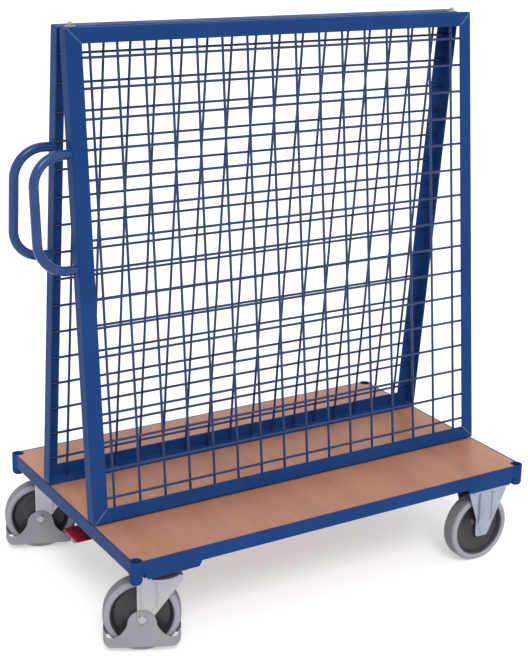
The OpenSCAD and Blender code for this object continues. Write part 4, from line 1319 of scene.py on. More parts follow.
@dataclass
class Wheel:
    """Tyre, dished hub and roller bearing about an axle along Y."""

    name: str
    place: Place
    tyre_half: float = 23.0 * MM
    hub_r: float = 82.0 * MM
    shoulder: float = 10.56 * MM
    foot_rounds: Spot = (0.2 * MM, 0.3 * MM, 0.5 * MM)
    foot_step: float = 1.3 * MM
    foot_flat: float = 2.4 * MM
    foot_top: float = 3.2 * MM
    tread_fall: float = 0.33 * MM
    tread_half: float = 12.0 * MM
    tread_depth: float = 1.0 * MM
    crown_half: float = 8.0 * MM
    worn_from: float = 5.0 * MM
    worn_over: float = 4.0 * MM
    bore_r: float = 14.0 * MM
    boss_r: float = 24.0 * MM
    boss_half: float = 29.7 * MM
    rim_half: float = 20.5 * MM
    web_half: float = 6.0 * MM
    stud_r: float = 45.0 * MM
    stud_angle: float = 145.0
    stud_sunk: float = 0.4 * MM
    stud_size: Spot = (2.6 * MM, 1.6 * MM, 2.6 * MM)

    def _fall(self, across: Array) -> Array:
        """Fall of the tread, which grows with the square of the distance from its middle."""
        return self.tread_fall * np.clip(np.abs(across) / self.tread_half, 0.0, 1.0) ** 2

    def _tyre_section(self) -> Array:
        """Closed section of the band, with round shoulders and a stepped foot on each wall.

        Returns:
            Points (radius, distance along the axle), of shape (n, 2).
        """
        top, half, foot = LAYOUT.wheel_r, self.tyre_half, self.hub_r
        wall = half - self.foot_step
        side = [(foot, wall), (foot + self.foot_flat, wall), (foot + self.foot_top, half), (top, half)]
        edges = [*self.foot_rounds, self.shoulder]
        outline = rounded_outline([(r, -h) for r, h in side] + side[::-1], edges + edges[::-1], 8)
        on_tread = outline[:, 0] > top - self.tread_depth
        outline[:, 0] -= np.where(on_tread, self._fall(outline[:, 1]), 0.0)
        across = np.linspace(-self.crown_half, self.crown_half, 5)
        crown = np.stack([top - self._fall(across), across], -1)
        split = len(outline) // 2
        return np.concatenate([outline[:split], crown, outline[split:]])

    def _hub(self) -> Skin:
        """Closed section of rim, web and boss, turned, with a small moulded stud on each face of the web.

        A row of the half section is a corner's radius, its distance from the middle, and its rounding.

        Returns:
            Hub and studs.
        """
        rim, web, boss = self.rim_half, self.web_half, self.boss_half
        half = [
            (self.bore_r, boss, 0.3 * MM),
            (self.boss_r - 1.0 * MM, boss, 1.5 * MM),
            (self.boss_r + 1.0 * MM, rim - 3.0 * MM, 2.5 * MM),
            (self.boss_r + 10.0 * MM, web + 3.0 * MM, 4.0 * MM),
            (self.boss_r + 22.0 * MM, web, 5.0 * MM),
            (self.hub_r - 10.0 * MM, web, 4.0 * MM),
            (self.hub_r - 4.6 * MM, rim - 1.6 * MM, 2.2 * MM),
            (self.hub_r - 2.8 * MM, rim, 0.7 * MM),
            (self.hub_r - 0.02 * MM, rim, 0.4 * MM),
        ]
        corners = [(r, h) for r, h, _ in half] + [(r, -h) for r, h, _ in reversed(half)]
        radii = [rounding for _, _, rounding in half + half[::-1]]
        skin = Skin().add(turned(rounded_outline(corners, radii, 5), 144), Loop.ROUND, self.place)
        angle = math.radians(self.stud_angle)
        for side in SIGNS:
            out = side * (web + self.stud_sunk)
            spot = np.array([[self.stud_r * math.cos(angle), out, self.stud_r * math.sin(angle)]])
            skin.add(blobs(spot, self.stud_size), Loop.POLES, self.place)
        return skin

    def build(self, shop: Workshop) -> None:
        """Makes the tyre, marks its tread as worn, makes the hub, and dresses the bearing.

        Args:
            shop: makes and dresses the pieces.
        """
        body, sides = f"{self.name}_wheel", 192
        section = self._tyre_section()
        skin = Skin().add(turned(section, sides), Loop.ROUND, self.place)
        band = shop.piece(f"{self.name}_tyre_band", skin, Look.TYRE, body, f"{self.name}_tyre")
        depth = section[:, 0] - LAYOUT.wheel_r + self.worn_from
        shop.mark(band, TREAD, np.tile(np.clip(depth / self.worn_over, 0.0, 1.0), sides))
        shop.piece(f"{self.name}_hub_dish", self._hub(), Look.HUB, body, f"{self.name}_hub", sharp=50.0)
        shop.dress(Look.CAGE, f"{self.name}_bearing")


@dataclass
class FootGuard:
    """Moulded guard round the foot of a swivel castor's wheel, with a hump up to the axle on each side."""

    half_l: float = 99.1 * MM
    half_w: float = 36.7 * MM
    corner: float = 26.0 * MM
    wall: float = 2.4 * MM
    floor: float = 19.0 * MM
    band_z: float = 46.0 * MM
    end_z: float = 62.0 * MM
    dome_r: float = 37.5 * MM
    dome_z: float = 83.5 * MM
    flare_l: float = 34.0 * MM
    flare_top: float = 83.5 * MM
    end_rise: float = 9.0 * MM
    end_back: float = 10.0 * MM
    foot_round: float = 18.0 * MM
    boss_r: float = 15.5 * MM
    boss_t: float = 1.2 * MM
    boss_edge: float = 0.5 * MM
    boss_hole: float = 6.1 * MM
    lip: float = 0.5 * MM
    lip_from: float = 3.0 * MM
    lip_over: float = 2.5 * MM

    def _path(self) -> tuple[Array, Array]:
        """Rounded rectangle seen from above, with its points closest where the hump is steepest.

        It runs along the end wall, round the corner and along the side wall, and then the same way
        along the two walls opposite.

        Returns:
            The path's points and their outward directions.
        """
        quarter = np.linspace(0.0, 1.0, 15)[1:-1] * math.pi / 2
        a, b, r = self.half_l - self.corner, self.half_w - self.corner, self.corner
        dome = self.dome_r * np.sin(np.linspace(-0.5, 0.5, 61) * math.pi)
        flare = self.dome_r + self.flare_l * (1.0 - np.cos(np.linspace(0.0, 0.5, 30)[1:] * math.pi))
        xs = np.concatenate([[-a], -flare[::-1], dome, flare, [a]])[::-1]
        ys = np.linspace(-b, b, 8)
        end_wall = np.stack([np.full(ys.size, a + r), ys], -1)
        side_wall = np.stack([xs, np.full(xs.size, b + r)], -1)
        walls = ((0.0, end_wall, (1.0, 0.0), (a, b)), (math.pi / 2, side_wall, (0.0, 1.0), (-a, b)))
        points, out = [], []
        for turn, (start, wall, way, centre) in product((1, -1), walls):
            sweep = start + (0.0 if turn > 0 else math.pi) + quarter
            ring = np.stack([np.cos(sweep), np.sin(sweep)], -1)
            points += [wall * turn, np.array(centre) * turn + r * ring]
            out += [np.broadcast_to(np.array(way) * turn, wall.shape), ring]
        return np.concatenate(points), np.concatenate(out)

    def _upper(self, x: Array) -> Array:
        """Height of the upper edge.

        Over the hump it is a circle about the dome's centre. Beside it the height above the band
        is the flare's times 1 - (1 - s ** 1.5) ** 0.75, where s falls from 1 at the hump to 0 at
        the flare's end. It then rises to the end walls by the smooth step 3 t^2 - 2 t^3.

        Args:
            x: distances along the wheel from its middle.

        Returns:
            The height at each distance.
        """
        x = np.abs(x)
        dome = self.dome_z + np.sqrt(np.clip(self.dome_r**2 - x**2, 0.0, None))
        part = np.clip((self.dome_r + self.flare_l - x) / self.flare_l, 0.0, 1.0)
        hollow = 1.0 - np.clip(1.0 - part**1.5, 0.0, 1.0) ** 0.75
        flare = self.band_z + (self.flare_top - self.band_z) * hollow
        end = np.clip((x - self.half_l + self.end_back) / self.end_rise, 0.0, 1.0)
        rise = (self.end_z - self.band_z) * end**2 * (3.0 - 2.0 * end)
        return np.where(x < self.dome_r, dome, flare) + rise

    def _lower(self, x: Array) -> Array:
        """Height of the lower edge: flat, and drawn up by a quarter circle at both ends."""
        past = np.clip(np.abs(x) - self.half_l + self.foot_round, 0.0, self.foot_round)
        return self.floor + self.foot_round - np.sqrt(self.foot_round**2 - past**2)

    def skin(self, place: Place) -> Skin:
        """The wall's closed section carried round the path, and a round boss on each side.

        The section runs up the outside, over a half-round lip, down the inside and under again. Its
        outer face stands a lip's depth further out along both edges than between them.

        Args:
            place: the place under the wheel's middle, on the floor.

        Returns:
            Wall and bosses.
        """
        path, out = self._path()
        low, high = self._lower(path[:, 0])[:, None], self._upper(path[:, 0])[:, None]
        edge, outside, inside = self.wall / 2, 44, 12
        arc = np.linspace(0.0, math.pi, 7)[1:-1]
        across, bulge = edge * np.cos(arc), edge * np.sin(arc)
        offset = np.concatenate([np.full(outside, edge), across, np.full(inside, -edge), -across])[None]
        climb, fall = np.linspace(0.0, 1.0, outside), np.linspace(1.0, 0.0, inside)
        share = np.concatenate([climb, np.ones(arc.size), fall, np.zeros(arc.size)])[None]
        swell = np.concatenate([np.zeros(outside), bulge, np.zeros(inside), -bulge])[None]
        height = low + edge + (high - low - 2 * edge) * share + swell
        gap = np.minimum(height - low, high - height)
        dip = self.lip * np.clip((gap - self.lip_from) / self.lip_over, 0.0, 1.0)
        outer_face = offset > 0.9 * edge
        offset = offset - np.where(outer_face, dip, 0.0)
        middle = path - out * edge
        plan = middle[:, None] + out[:, None] * offset[..., None]
        made = Skin().add(np.concatenate([plan, height[..., None]], -1), Loop.ROUND, place)
        boss = disc(self.boss_r, 0.0, self.boss_t, self.boss_edge, hole=self.boss_hole)
        for side in SIGNS:
            face = Place.shift(0.0, side * (self.half_w - self.boss_t), LAYOUT.wheel_r)
            made.add(boss, Loop.ROUND, place @ (face @ Place.turn("X", -90.0 * side)))
        return made


@dataclass(frozen=True)
class PressedLeg:
    """One leg of a pressed fork about its axle: sizes in its own plane, x along the wheel and z up.

    The top fields give the leg's upper edge, the waist ones the narrow part over the axle, the foot
    ones the centres of the two foot corners, and the band ones the raised panel's two edges.
    """

    top: float
    top_left: float
    left_break: float
    waist_left: float
    waist_z: float
    top_right: float
    foot_left: float
    foot_right: float
    foot_z: float
    corner: float
    band_left: float
    band_right: float
    shoulder: float = 14.0 * MM
    inner: float = 30.0 * MM
    sheet: float = 4.0 * MM
    pressed: float = 2.4 * MM
    wing: float = 7.0 * MM
    bend: float = 5.0 * MM
    edge: float = 1.0 * MM
    fade_from: float = 24.0 * MM
    fade_over: float = 16.0 * MM
    fade_below: float = 4.0 * MM
    fade_top: float = 10.0 * MM
    crowding: float = 0.35
    inner_rounding: float = 0.5
    inner_drop: float = 0.4

    def _edges(self, z: Array) -> tuple[Array, Array]:
        """Left and right ends of the leg at each height.

        Above the foot the left side is straight down from the top, slants to the waist, and falls
        straight. The right side falls from the shoulder along the line that touches the foot's
        arc. Both foot corners are quarter circles.

        Args:
            z: heights above the axle.

        Returns:
            The left and the right end at each height.
        """
        arc = np.sqrt(np.clip(self.corner**2 - np.clip(self.foot_z - z, 0.0, self.corner) ** 2, 0.0, None))
        slant = np.interp(z, [self.waist_z, self.left_break], [self.waist_left, self.top_left])
        left = np.where(z < self.foot_z, self.foot_left - arc, slant)
        dx, dz = self.top_right - self.foot_right, self.top - self.shoulder - self.foot_z
        angle = math.atan2(dz, dx) - math.acos(self.corner / math.hypot(dx, dz))
        touch = (self.foot_right + self.corner * math.cos(angle), self.foot_z + self.corner * math.sin(angle))
        line = np.interp(z, [touch[1], self.top - self.shoulder], [touch[0], self.top_right])
        round_part = self.foot_right + np.sqrt(np.clip(self.corner**2 - (self.foot_z - z) ** 2, 0.0, None))
        return left, np.where(z < touch[1], round_part, line)

    def grid(self, side: int) -> tuple[Array, Array]:
        """Closed sections of the sheet at rising heights, and how steep each point's fold is, which weights
        the painted shade along the folds.

        At each height the section runs along the outer face and back along the inner one. The
        outer face stands out by the pressing's depth between the band's edges, and falls back
        smoothly over the wing's width. Near the top both faces follow the bend into the crown, and
        the outer face's two long edges are quarter circles.

        Args:
            side: the sign of the leg's Y.

        Returns:
            Grid of shape (rows, columns, 3), and one number from 0 to 1 for each point of its shell.
        """
        low = self.foot_z - self.corner * np.cos(np.linspace(0.03, 0.5, 12) * math.pi)
        high = self.top - self.bend * (1.0 - np.sin(np.linspace(0.0, 0.5, 8) * math.pi))
        z = np.concatenate([low, np.linspace(low[-1], high[0], 60)[1:-1], high])
        left, right = self._edges(z)
        even = np.linspace(0.0, 1.0, 56)
        crowded = 0.5 - 0.5 * np.cos(even * math.pi)
        share = self.crowding * crowded + (1.0 - self.crowding) * even
        x = left[:, None] + (right - left)[:, None] * share
        fall = np.clip(np.maximum(self.band_left - x, x - self.band_right) / self.wing, 0.0, 1.0)
        fade = np.clip((z - self.foot_z - self.fade_from) / self.fade_over, 0.0, 1.0)[:, None]
        fade = fade * np.clip((self.top - self.fade_below - z) / self.fade_top, 0.0, 1.0)[:, None]
        press = self.pressed * (1.0 - fall**2 * (3.0 - 2.0 * fall)) * fade
        nearest = np.minimum(x - left[:, None], right[:, None] - x)
        bite = np.clip(1.0 - nearest / self.edge, 0.0, 1.0)
        rounding = self.edge * (1.0 - np.sqrt(1.0 - bite**2))
        over = np.clip((z - self.top + self.bend) / self.bend, 0.0, 0.999)[:, None]
        drop = self.bend * (1.0 - np.sqrt(1.0 - over**2))
        outer = self.inner + self.sheet + press - rounding - drop
        inner = self.inner + rounding * self.inner_rounding - drop * self.inner_drop
        both = [np.concatenate([outward, back[:, ::-1]], 1) for outward, back in ((x, x), (outer, inner))]
        grid = np.stack([both[0], both[1] * side, np.broadcast_to(z[:, None], both[0].shape)], -1)
        # Weight of the painted shade along the folds, highest midway across each wing
        fold = 4.0 * fall * (1.0 - fall) * fade
        marks = np.concatenate([np.concatenate([fold, 0.0 * fold], 1).ravel(), [0.0, 0.0]])
        return grid, marks

    def pair(self, made: Skin, axle: Place) -> Array:
        """Adds both legs of a fork to its skin.

        Args:
            made: the skin, which holds the fork's plain parts.
            axle: the place of the axle's middle.

        Returns:
            The fold's weight of painted shade for each point of the whole skin.
        """
        marks = [np.zeros(made.total)]
        for side in SIGNS:
            sheet, fold = self.grid(side)
            made.add(sheet, Loop.POLES, axle)
            marks.append(fold)
        return np.concatenate(marks)


def slab(length: float, width: float, bottom: float, top: float, corner: float, edge: float) -> Array:
    """Flat plate: its rounded outline, drawn in along a quarter circle at both faces, at rising heights.

    Args:
        length: size along X.
        width: size along Y.
        bottom: height of the lower face.
        top: height of the upper face.
        corner: radius of the outline's corners.
        edge: radius of the edges round both faces.

    Returns:
        Grid of shape (12, 36, 3).
    """
    a, b = length / 2, width / 2
    outline = rounded_outline([(a, b), (-a, b), (-a, -b), (a, -b)], [corner] * 4, 8)
    sweep = np.linspace(0.0, math.pi / 2, 5)
    rise, fall = edge * (1 - np.cos(sweep)), edge * (1 - np.sin(sweep))
    middle = b * CAP_INSET
    inset = np.concatenate([[middle], fall, rise, [middle]])
    level = np.concatenate([[bottom], bottom + rise, top - fall, [top]])
    size = 1.0 - inset[:, None] / np.array([a, b]) * np.array([b / a, 1.0])
    return lifted(outline[None] * size[:, None, :], level)


@dataclass
class SwivelFork:
    """Pressed fork of a swivel castor: two legs under a round crown with a hole for the kingpin."""

    trail: float
    crown_r: float = 58.0 * MM
    crown_low: float = 211.0 * MM
    crown_t: float = 5.0 * MM
    hole_r: float = 8.1 * MM
    half_w: float = 34.0 * MM
    overlap: float = 0.5 * MM
    crown_edge: float = 1.2 * MM

    def skin(self, place: Place) -> tuple[Skin, Array]:
        """A crown with two legs under it.

        The crown is a ring whose outer radius is the larger of the disc's and that of the
        rectangle over the legs. Its outer edge is drawn in by the fourth power of the distance
        from its middle plane.

        Args:
            place: the place of the kingpin's axis, on the floor.

        Returns:
            The fork's skin, and the fold's weight of painted shade for each of its points.
        """
        angle = np.arange(160)[:, None] * FULL_TURN / 160
        ahead = self.crown_r / np.maximum(np.abs(np.cos(angle)), 1e-6)
        aside = self.half_w / np.maximum(np.abs(np.sin(angle)), 1e-6)
        outer = np.maximum(self.crown_r, np.minimum(ahead, aside) - self.overlap)
        low, high = self.crown_low, self.crown_low + self.crown_t
        section = rounded_outline([(0.0, low), (1.0, low), (1.0, high), (0.0, high)], [0.3 * MM] * 4, 3)
        share, level = section[:, 0], section[:, 1]
        off = np.abs(level - (low + high) / 2) / (self.crown_t / 2)
        outermost = np.clip((share - 0.9) * 10.0, 0.0, 1.0)
        rounded = outermost * self.crown_edge * off**4
        radius = self.hole_r + share * (outer - self.hole_r) - rounded
        made = Skin().add(about_z(radius, angle, level), Loop.ROUND, place)
        rise = high - LAYOUT.wheel_r
        leg = PressedLeg(
            top=rise, top_left=-13.0 * MM, left_break=rise, waist_left=-13.0 * MM, waist_z=10.0 * MM,
            top_right=self.crown_r + self.trail, foot_left=-5.0 * MM, foot_right=14.0 * MM,
            foot_z=-6.0 * MM, corner=8.0 * MM, band_left=1.0 * MM, band_right=33.0 * MM, pressed=1.5 * MM)
        return made, leg.pair(made, place @ Place.shift(-self.trail, 0.0, LAYOUT.wheel_r))


@dataclass
class FixedFork:
    """Pressed fork of a fixed castor: a plate with a leg on each side of the wheel."""

    offset: float
    plate_l: float = 135.0 * MM
    plate_w: float = 104.0 * MM
    plate_corner: float = 10.0 * MM
    plate_edge: float = 0.8 * MM
    web_short: float = 3.0 * MM
    web_w: float = 62.0 * MM
    web_t: float = 4.0 * MM
    web_sunk: float = 0.5 * MM
    web_corner: float = 2.0 * MM
    web_edge: float = 0.4 * MM

    def skin(self, axle: Place) -> tuple[Skin, Array]:
        """The plate and the web between the legs' tops are flat slabs, and the legs are pressed sheet.

        Args:
            axle: the place of the wheel's centre.

        Returns:
            The fork's skin, and the fold's weight of painted shade for each of its points.
        """
        low, high = LAYOUT.plate_z, LAYOUT.plate_top
        centre = axle @ Place.shift(self.offset, 0.0, -LAYOUT.wheel_r)
        plate = slab(self.plate_l, self.plate_w, low, high, self.plate_corner, self.plate_edge)
        made = Skin().add(plate, Loop.POLES, centre)
        web_l, web_low, web_high = self.plate_l - self.web_short, low - self.web_t, low + self.web_sunk
        web = slab(web_l, self.web_w, web_low, web_high, self.web_corner, self.web_edge)
        made.add(web, Loop.POLES, centre)
        rise = low - LAYOUT.wheel_r
        leg = PressedLeg(
            top=rise + 0.1 * MM, top_left=-51.0 * MM, left_break=rise - 12.0 * MM, waist_left=-24.0 * MM,
            waist_z=36.0 * MM, top_right=83.0 * MM, foot_left=-14.0 * MM, foot_right=12.0 * MM,
            foot_z=-9.0 * MM, corner=10.0 * MM, band_left=-13.0 * MM, band_right=24.0 * MM,
            pressed=3.0 * MM, wing=9.0 * MM, bend=2.0 * MM)
        return made, leg.pair(made, axle)


@dataclass
class AxleSet:
    """Axle bolt through fork and guard, with washers and nut."""

    grip: float = 36.7 * MM
    washer_r: float = 11.9 * MM
    washer_t: float = 2.0 * MM
    washer_edge: float = 0.5 * MM
    gap: float = 0.02 * MM
    tip: float = 6.0 * MM
    thread_sunk: float = 4.0 * MM
    shank_short: float = 3.0 * MM
    shank_edge: float = 0.1 * MM

    def skin(self, place: Place) -> Skin:
        """Head towards -Y, nut and threaded end towards +Y.

        Args:
            place: the place of the axle's middle.

        Returns:
            The whole set.
        """
        right, left = place @ Place.turn("X", 90.0), place @ Place.turn("X", -90.0)
        face = self.grip + self.washer_t + 2 * self.gap
        made = Skin().add(M12.head(), Loop.POLES, right @ Place.lift(face))
        made.add(M12.nut(), Loop.POLES, left @ Place.lift(face))
        thread = M12.shank(M12.nut_h + self.tip)
        made.add(thread, Loop.POLES, left @ Place.lift(face - self.thread_sunk))
        shank = disc(M12.diameter / 2, -face, face - self.shank_short, self.shank_edge)
        made.add(shank, Loop.ROUND, left)
        low, high = self.grip + self.gap, self.grip + self.washer_t - self.gap
        for way in (right, left):
            made.add(M12.washer(self.washer_r, low, high, self.washer_edge), Loop.ROUND, way)
        return made


@dataclass
class SwivelCastor:
    """One swivel castor: fork, axle, bush, guard and wheel."""

    side: Side
    turn: float
    trail: float = 45.0 * MM

    def place(self) -> Place:
        """Place of the kingpin's axis on the floor, turned with the castor."""
        stand = Place.shift(LAYOUT.swivel_x, self.side.value * LAYOUT.swivel_y, 0.0)
        return LAYOUT.middle() @ stand @ Place.turn("Z", self.turn)

    def build(self, shop: Workshop) -> None:
        """Makes fork, guard, axle and wheel, and dresses the bush.

        Args:
            shop: makes and dresses the pieces.
        """
        name = self.side.word
        body = f"{name}_swivel"
        under_axle = self.place() @ Place.shift(-self.trail, 0.0, 0.0)
        axle = under_axle @ Place.lift(LAYOUT.wheel_r)
        fork, fold = SwivelFork(self.trail).skin(self.place())
        made = shop.piece(f"{name}_fork_pressing", fork, Look.ZINC, body, f"{name}_swivel_fork")
        shop.mark(made, FOLD_SHADE, fold)
        shop.dress(Look.DARK_STEEL, f"{name}_swivel_bush")
        guard = FootGuard().skin(under_axle)
        shop.piece(f"{name}_guard_moulding", guard, Look.GUARD, body, f"{name}_foot_guard", sharp=50.0)
        bolt = AxleSet().skin(axle)
        shop.piece(f"{name}_axle_set", bolt, Look.ZINC, body, f"{name}_swivel_axle", sharp=25.0)
        Wheel(f"rear_{name}", axle).build(shop)


@dataclass
class FixedCastors:
    """The two fixed castors: forks with their plates, axles with riveted ends, bushes and wheels."""

    offset: float = 16.0 * MM
    fork_out: float = 34.0 * MM
    axle_r: float = 6.0 * MM
    head_r: float = 10.0 * MM
    head_h: float = 2.5 * MM
    gap: float = 0.02 * MM
    centre_r: float = 0.4 * MM

    def _place(self, side: Side) -> Place:
        """Place of one fixed wheel's centre."""
        spot = Place.shift(LAYOUT.fixed_x - self.offset, side.value * LAYOUT.fixed_y, LAYOUT.wheel_r)
        return LAYOUT.middle() @ spot

    def _rivets(self) -> Skin:
        """Axles whose ends are spread into low domes.

        A dome's height falls by 0.72 s^2 + 0.28 s^8 of the whole, and its radius grows with the
        sine of s times a quarter turn, as s runs from 0 at the middle to 1 at the rim.

        Returns:
            Both axles.
        """
        reach = self.fork_out + self.gap
        share = np.linspace(0.0, 1.0, 9)
        dome_r = self.head_r * np.sin(share * math.pi / 2)
        dome_h = reach + self.head_h * (1.0 - 0.72 * share**2 - 0.28 * share**8)
        ends = np.stack([dome_r, dome_h], -1)[::-1]
        half = np.concatenate([[[self.axle_r, reach]], ends[:-1], [[self.centre_r, reach + self.head_h]]])
        rings = turned(np.concatenate([half[::-1] * (1, -1), half]), 48).swapaxes(0, 1)
        skin = Skin()
        for side in Side:
            skin.add(rings, Loop.POLES, self._place(side))
        return skin

    def build(self, shop: Workshop) -> None:
        """Makes the forks, the axles and the wheels, and dresses the bushes.

        Args:
            shop: makes and dresses the pieces.
        """
        for side in Side:
            fork, fold = FixedFork(self.offset).skin(self._place(side))
            name = side.word
            made = shop.piece(f"{name}_fixed_pressing", fork, Look.BLUE_ZINC, "frame", f"{name}_fixed_fork")
            shop.mark(made, FOLD_SHADE, fold)
        shop.dress(Look.DARK_STEEL, "fixed_bushes")
        shop.piece("fixed_axle_rivets", self._rivets(), Look.BLUE_ZINC, "frame", "fixed_axles", sharp=30.0)
        for side in Side:
            Wheel(f"front_{side.word}", self._place(side)).build(shop)


@dataclass
class CentralBrake:
    """Foot pedal, shaft and push pins of the central brake."""

    ribs: int = 7
    rib_half: float = 2.0 * MM
    rib_end: float = 7.0 * MM
    corner: float = 7.0 * MM
    edge: float = 2.4 * MM
    rib_rise: float = 1.4 * MM
    rib_start: float = 6.0 * MM
    rib_span: float = 16.0 * MM
    under: float = 0.8 * MM
    flat_in: float = 3.0 * MM

    def _pad(self) -> Skin:
        """Cushion with rounded edges, as offset outlines at rising heights, and half-round ribs on top.

        A rib is an ellipse carried along Y, whose size is the root of 1 - |s|^14 as s runs from -1
        to 1 along it.

        Returns:
            Cushion and ribs.
        """
        low, high = (np.array(corner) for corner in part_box("brake_pedal_pad"))
        centre, half = (low + high) / 2, (high - low) / 2
        bottom, top = low[2] + self.under, high[2] - self.rib_rise
        sweep = np.linspace(0.0, math.pi / 2, 7)
        rise, fall = self.edge * (1 - np.cos(sweep)), self.edge * (1 - np.sin(sweep))
        middle = half[1] * CAP_INSET
        inset = np.concatenate([[middle, self.edge * 1.4], fall, rise, [self.edge + self.flat_in, middle]])
        level = np.concatenate([[bottom, bottom], bottom + rise, top - fall, [top, top]])
        corners = [(half[0], half[1]), (-half[0], half[1]), (-half[0], -half[1]), (half[0], -half[1])]
        outline = rounded_outline(corners, [self.corner] * 4, 8)
        size = 1.0 - inset[:, None] / half[:2] * np.minimum(1.0, half[:2] / half[0])[None]
        skin = Skin().add(lifted(outline[None] * size[:, None, :] + centre[:2], level), Loop.POLES)
        first = low[0] + self.rib_start + self.rib_half
        pitch = (2 * half[0] - self.rib_span) / (self.ribs - 1)
        share = np.linspace(-1.0, 1.0, 41)[:, None]
        full = np.clip(1.0 - np.abs(share) ** 14, 0.0, 1.0) ** 0.5
        angle = np.arange(14) * FULL_TURN / 14
        for k in range(self.ribs):
            x = first + k * pitch + self.rib_half * full * np.cos(angle)
            y = share * (half[1] - self.rib_end) + 0.0 * angle
            z = top + self.rib_rise * full * np.sin(angle)
            skin.add(np.stack([x, y, z], -1), Loop.POLES)
        return skin

    def build(self, shop: Workshop) -> None:
        """Makes the pad and dresses the rest.

        Args:
            shop: makes and dresses the pieces.
        """
        shop.piece("brake_pad_moulding", self._pad(), Look.RED_PAD, "brake", "brake_pedal_pad", sharp=50.0)
        shop.dress(Look.ZINC, "brake_pedal_arm", "brake_shaft", "brake_shaft_brackets")
        shop.dress(Look.DARK_STEEL, "right_brake_pin", "left_brake_pin")


# Studio


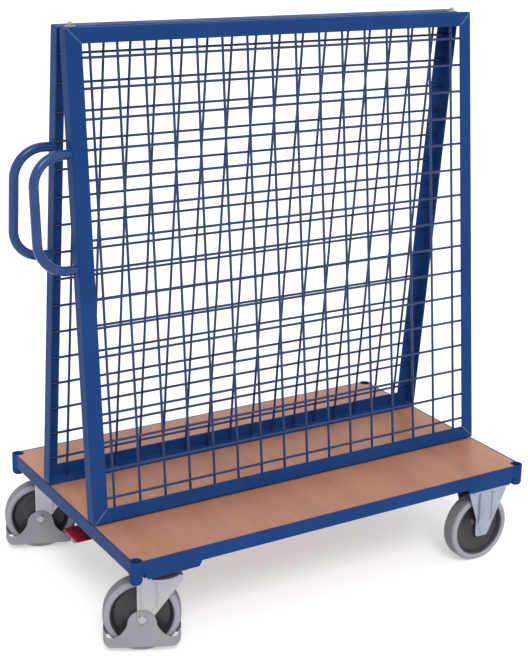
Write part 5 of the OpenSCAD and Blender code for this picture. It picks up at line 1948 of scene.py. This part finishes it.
@dataclass
class Studio:
    """Camera at the photograph's angle, pale floor, and soft plain light."""

    place: Spot = (-1.94792, -3.25558, 1.92769)
    yaw: float = 32.833
    pitch: float = -15.752
    roll: float = 1.475
    focal_px: float = 1429.8
    centre_x_px: float = 301.5
    centre_y_px: float = 270.3
    sky: float = 0.66
    floor_colour: Colour = (0.86, 0.86, 0.86)
    floor_lift: float = 0.42
    floor_reach: float = 60.0
    sensor: float = 36.0

    def _camera(self) -> None:
        """Camera whose shift puts the photograph's principal point where it was.

        Its axes are those of its yaw and pitch, turned by its roll about the line of sight.
        """
        data = bpy.data.cameras.new("camera")
        data.sensor_width = self.sensor
        data.lens = self.focal_px * self.sensor / PHOTO_HEIGHT
        data.shift_x = (PHOTO_WIDTH / 2 - self.centre_x_px) / PHOTO_HEIGHT
        data.shift_y = (self.centre_y_px - PHOTO_HEIGHT / 2) / PHOTO_HEIGHT
        data.clip_start, data.clip_end = 0.05, 200.0
        yaw, pitch, roll = (math.radians(v) for v in (self.yaw, self.pitch, self.roll))
        ahead = np.array([math.sin(yaw) * math.cos(pitch), math.cos(yaw) * math.cos(pitch), math.sin(pitch)])
        right = np.array([math.cos(yaw), -math.sin(yaw), 0.0])
        up = np.cross(right, ahead)
        across = math.cos(roll) * right + math.sin(roll) * up
        upright = -math.sin(roll) * right + math.cos(roll) * up
        pose = np.eye(4)
        pose[:3] = np.stack([across, upright, -ahead, self.place], 1)
        camera = bpy.data.objects.new("camera", data)
        camera.matrix_world = Matrix(pose.tolist())
        bpy.context.scene.collection.objects.link(camera)
        bpy.context.scene.camera = camera

    @staticmethod
    def _background(wire: Wiring) -> Output:
        """Where the surround is seen as white.

        Args:
            wire: the wiring of the floor's or the world's tree.

        Returns:
            1 for the camera, in reflections and through glass, and 0 elsewhere.
        """
        path = wire.add("LightPath")
        seen = wire.math("MAXIMUM", path.outputs["Is Camera Ray"], path.outputs["Is Glossy Ray"])
        return wire.math("MAXIMUM", seen, path.outputs["Is Transmission Ray"])

    def _floor(self) -> None:
        """Plain pale floor, wide enough to fill every view."""
        reach = self.floor_reach
        mesh = bpy.data.meshes.new("floor")
        corners = [(-reach, -reach, 0.0), (reach, -reach, 0.0), (reach, reach, 0.0), (-reach, reach, 0.0)]
        mesh.from_pydata(corners, [], [(0, 1, 2, 3)])
        material = bpy.data.materials.new("floor")
        material.use_nodes = True
        shader = material.node_tree.nodes["Principled BSDF"]
        shader.inputs["Base Color"].default_value = (*self.floor_colour, 1.0)
        shader.inputs["Roughness"].default_value = 1.0
        shader.inputs["Specular IOR Level"].default_value = 0.0
        shader.inputs["Emission Color"].default_value = (1.0, 1.0, 1.0, 1.0)
        wire = Wiring(material.node_tree)
        glow = wire.times(self._background(wire), self.floor_lift)
        material.node_tree.links.new(glow, shader.inputs["Emission Strength"])
        mesh.materials.append(material)
        floor = bpy.data.objects.new("floor", mesh)
        bpy.context.scene.collection.objects.link(floor)

    def _sky(self) -> None:
        """Soft white surround, seen as plain white by the camera and in reflections."""
        world = bpy.data.worlds.new("studio")
        bpy.context.scene.world = world
        world.use_nodes = True
        wire = Wiring(world.node_tree)
        back = world.node_tree.nodes["Background"]
        feeds = {"Value": self._background(wire), "To Min": self.sky, "To Max": 1.0}
        back.inputs["Color"].default_value = (1.0, 1.0, 1.0, 1.0)
        world.node_tree.links.new(wire.add("MapRange", feeds).outputs["Result"], back.inputs["Strength"])

    @staticmethod
    def _lamp(name: str, way: Spot, strength: float, spread: float) -> None:
        """Very soft distant lamp that shines along the given direction.

        Args:
            name: the lamp's name.
            way: the direction of its light.
            strength: its light in watts per square metre.
            spread: the angle in degrees that it covers in the sky.
        """
        data = bpy.data.lights.new(name, "SUN")
        data.energy = strength
        data.angle = math.radians(spread)
        lamp = bpy.data.objects.new(name, data)
        back = -np.array(way) / np.linalg.norm(way)
        side = np.cross((0.0, 0.0, 1.0), back)
        side /= np.linalg.norm(side)
        over = np.cross(back, side)
        lamp.rotation_mode = "QUATERNION"
        lamp.rotation_quaternion = Matrix(np.stack([side, over, back], 1).tolist()).to_quaternion()
        bpy.context.scene.collection.objects.link(lamp)

    def build(self) -> None:
        """Sets up camera, floor, surround and lamps."""
        bpy.context.scene.view_settings.view_transform = "Standard"
        self._camera()
        self._floor()
        self._sky()
        self._lamp("key", (0.35, 0.8, -0.85), strength=1.35, spread=22.0)
        self._lamp("fill", (-0.6, 0.5, -0.9), strength=0.25, spread=60.0)


def main() -> None:
    """Builds every sub-assembly in order."""
    logging.basicConfig(level=logging.INFO, format="%(message)s")
    Studio().build()
    shop = Workshop(frame["nodes"])
    Platform().build(shop)
    for side in Side:
        panel = MeshPanel(side)
        panel.build(shop)
        PushHandle(panel).build(shop)
    Ridge().build(shop)
    CastorBolts().build(shop)
    for side, turn in REST_TURN.items():
        SwivelCastor(side, turn).build(shop)
    FixedCastors().build(shop)
    CentralBrake().build(shop)


if __name__ == "__main__":
    main()
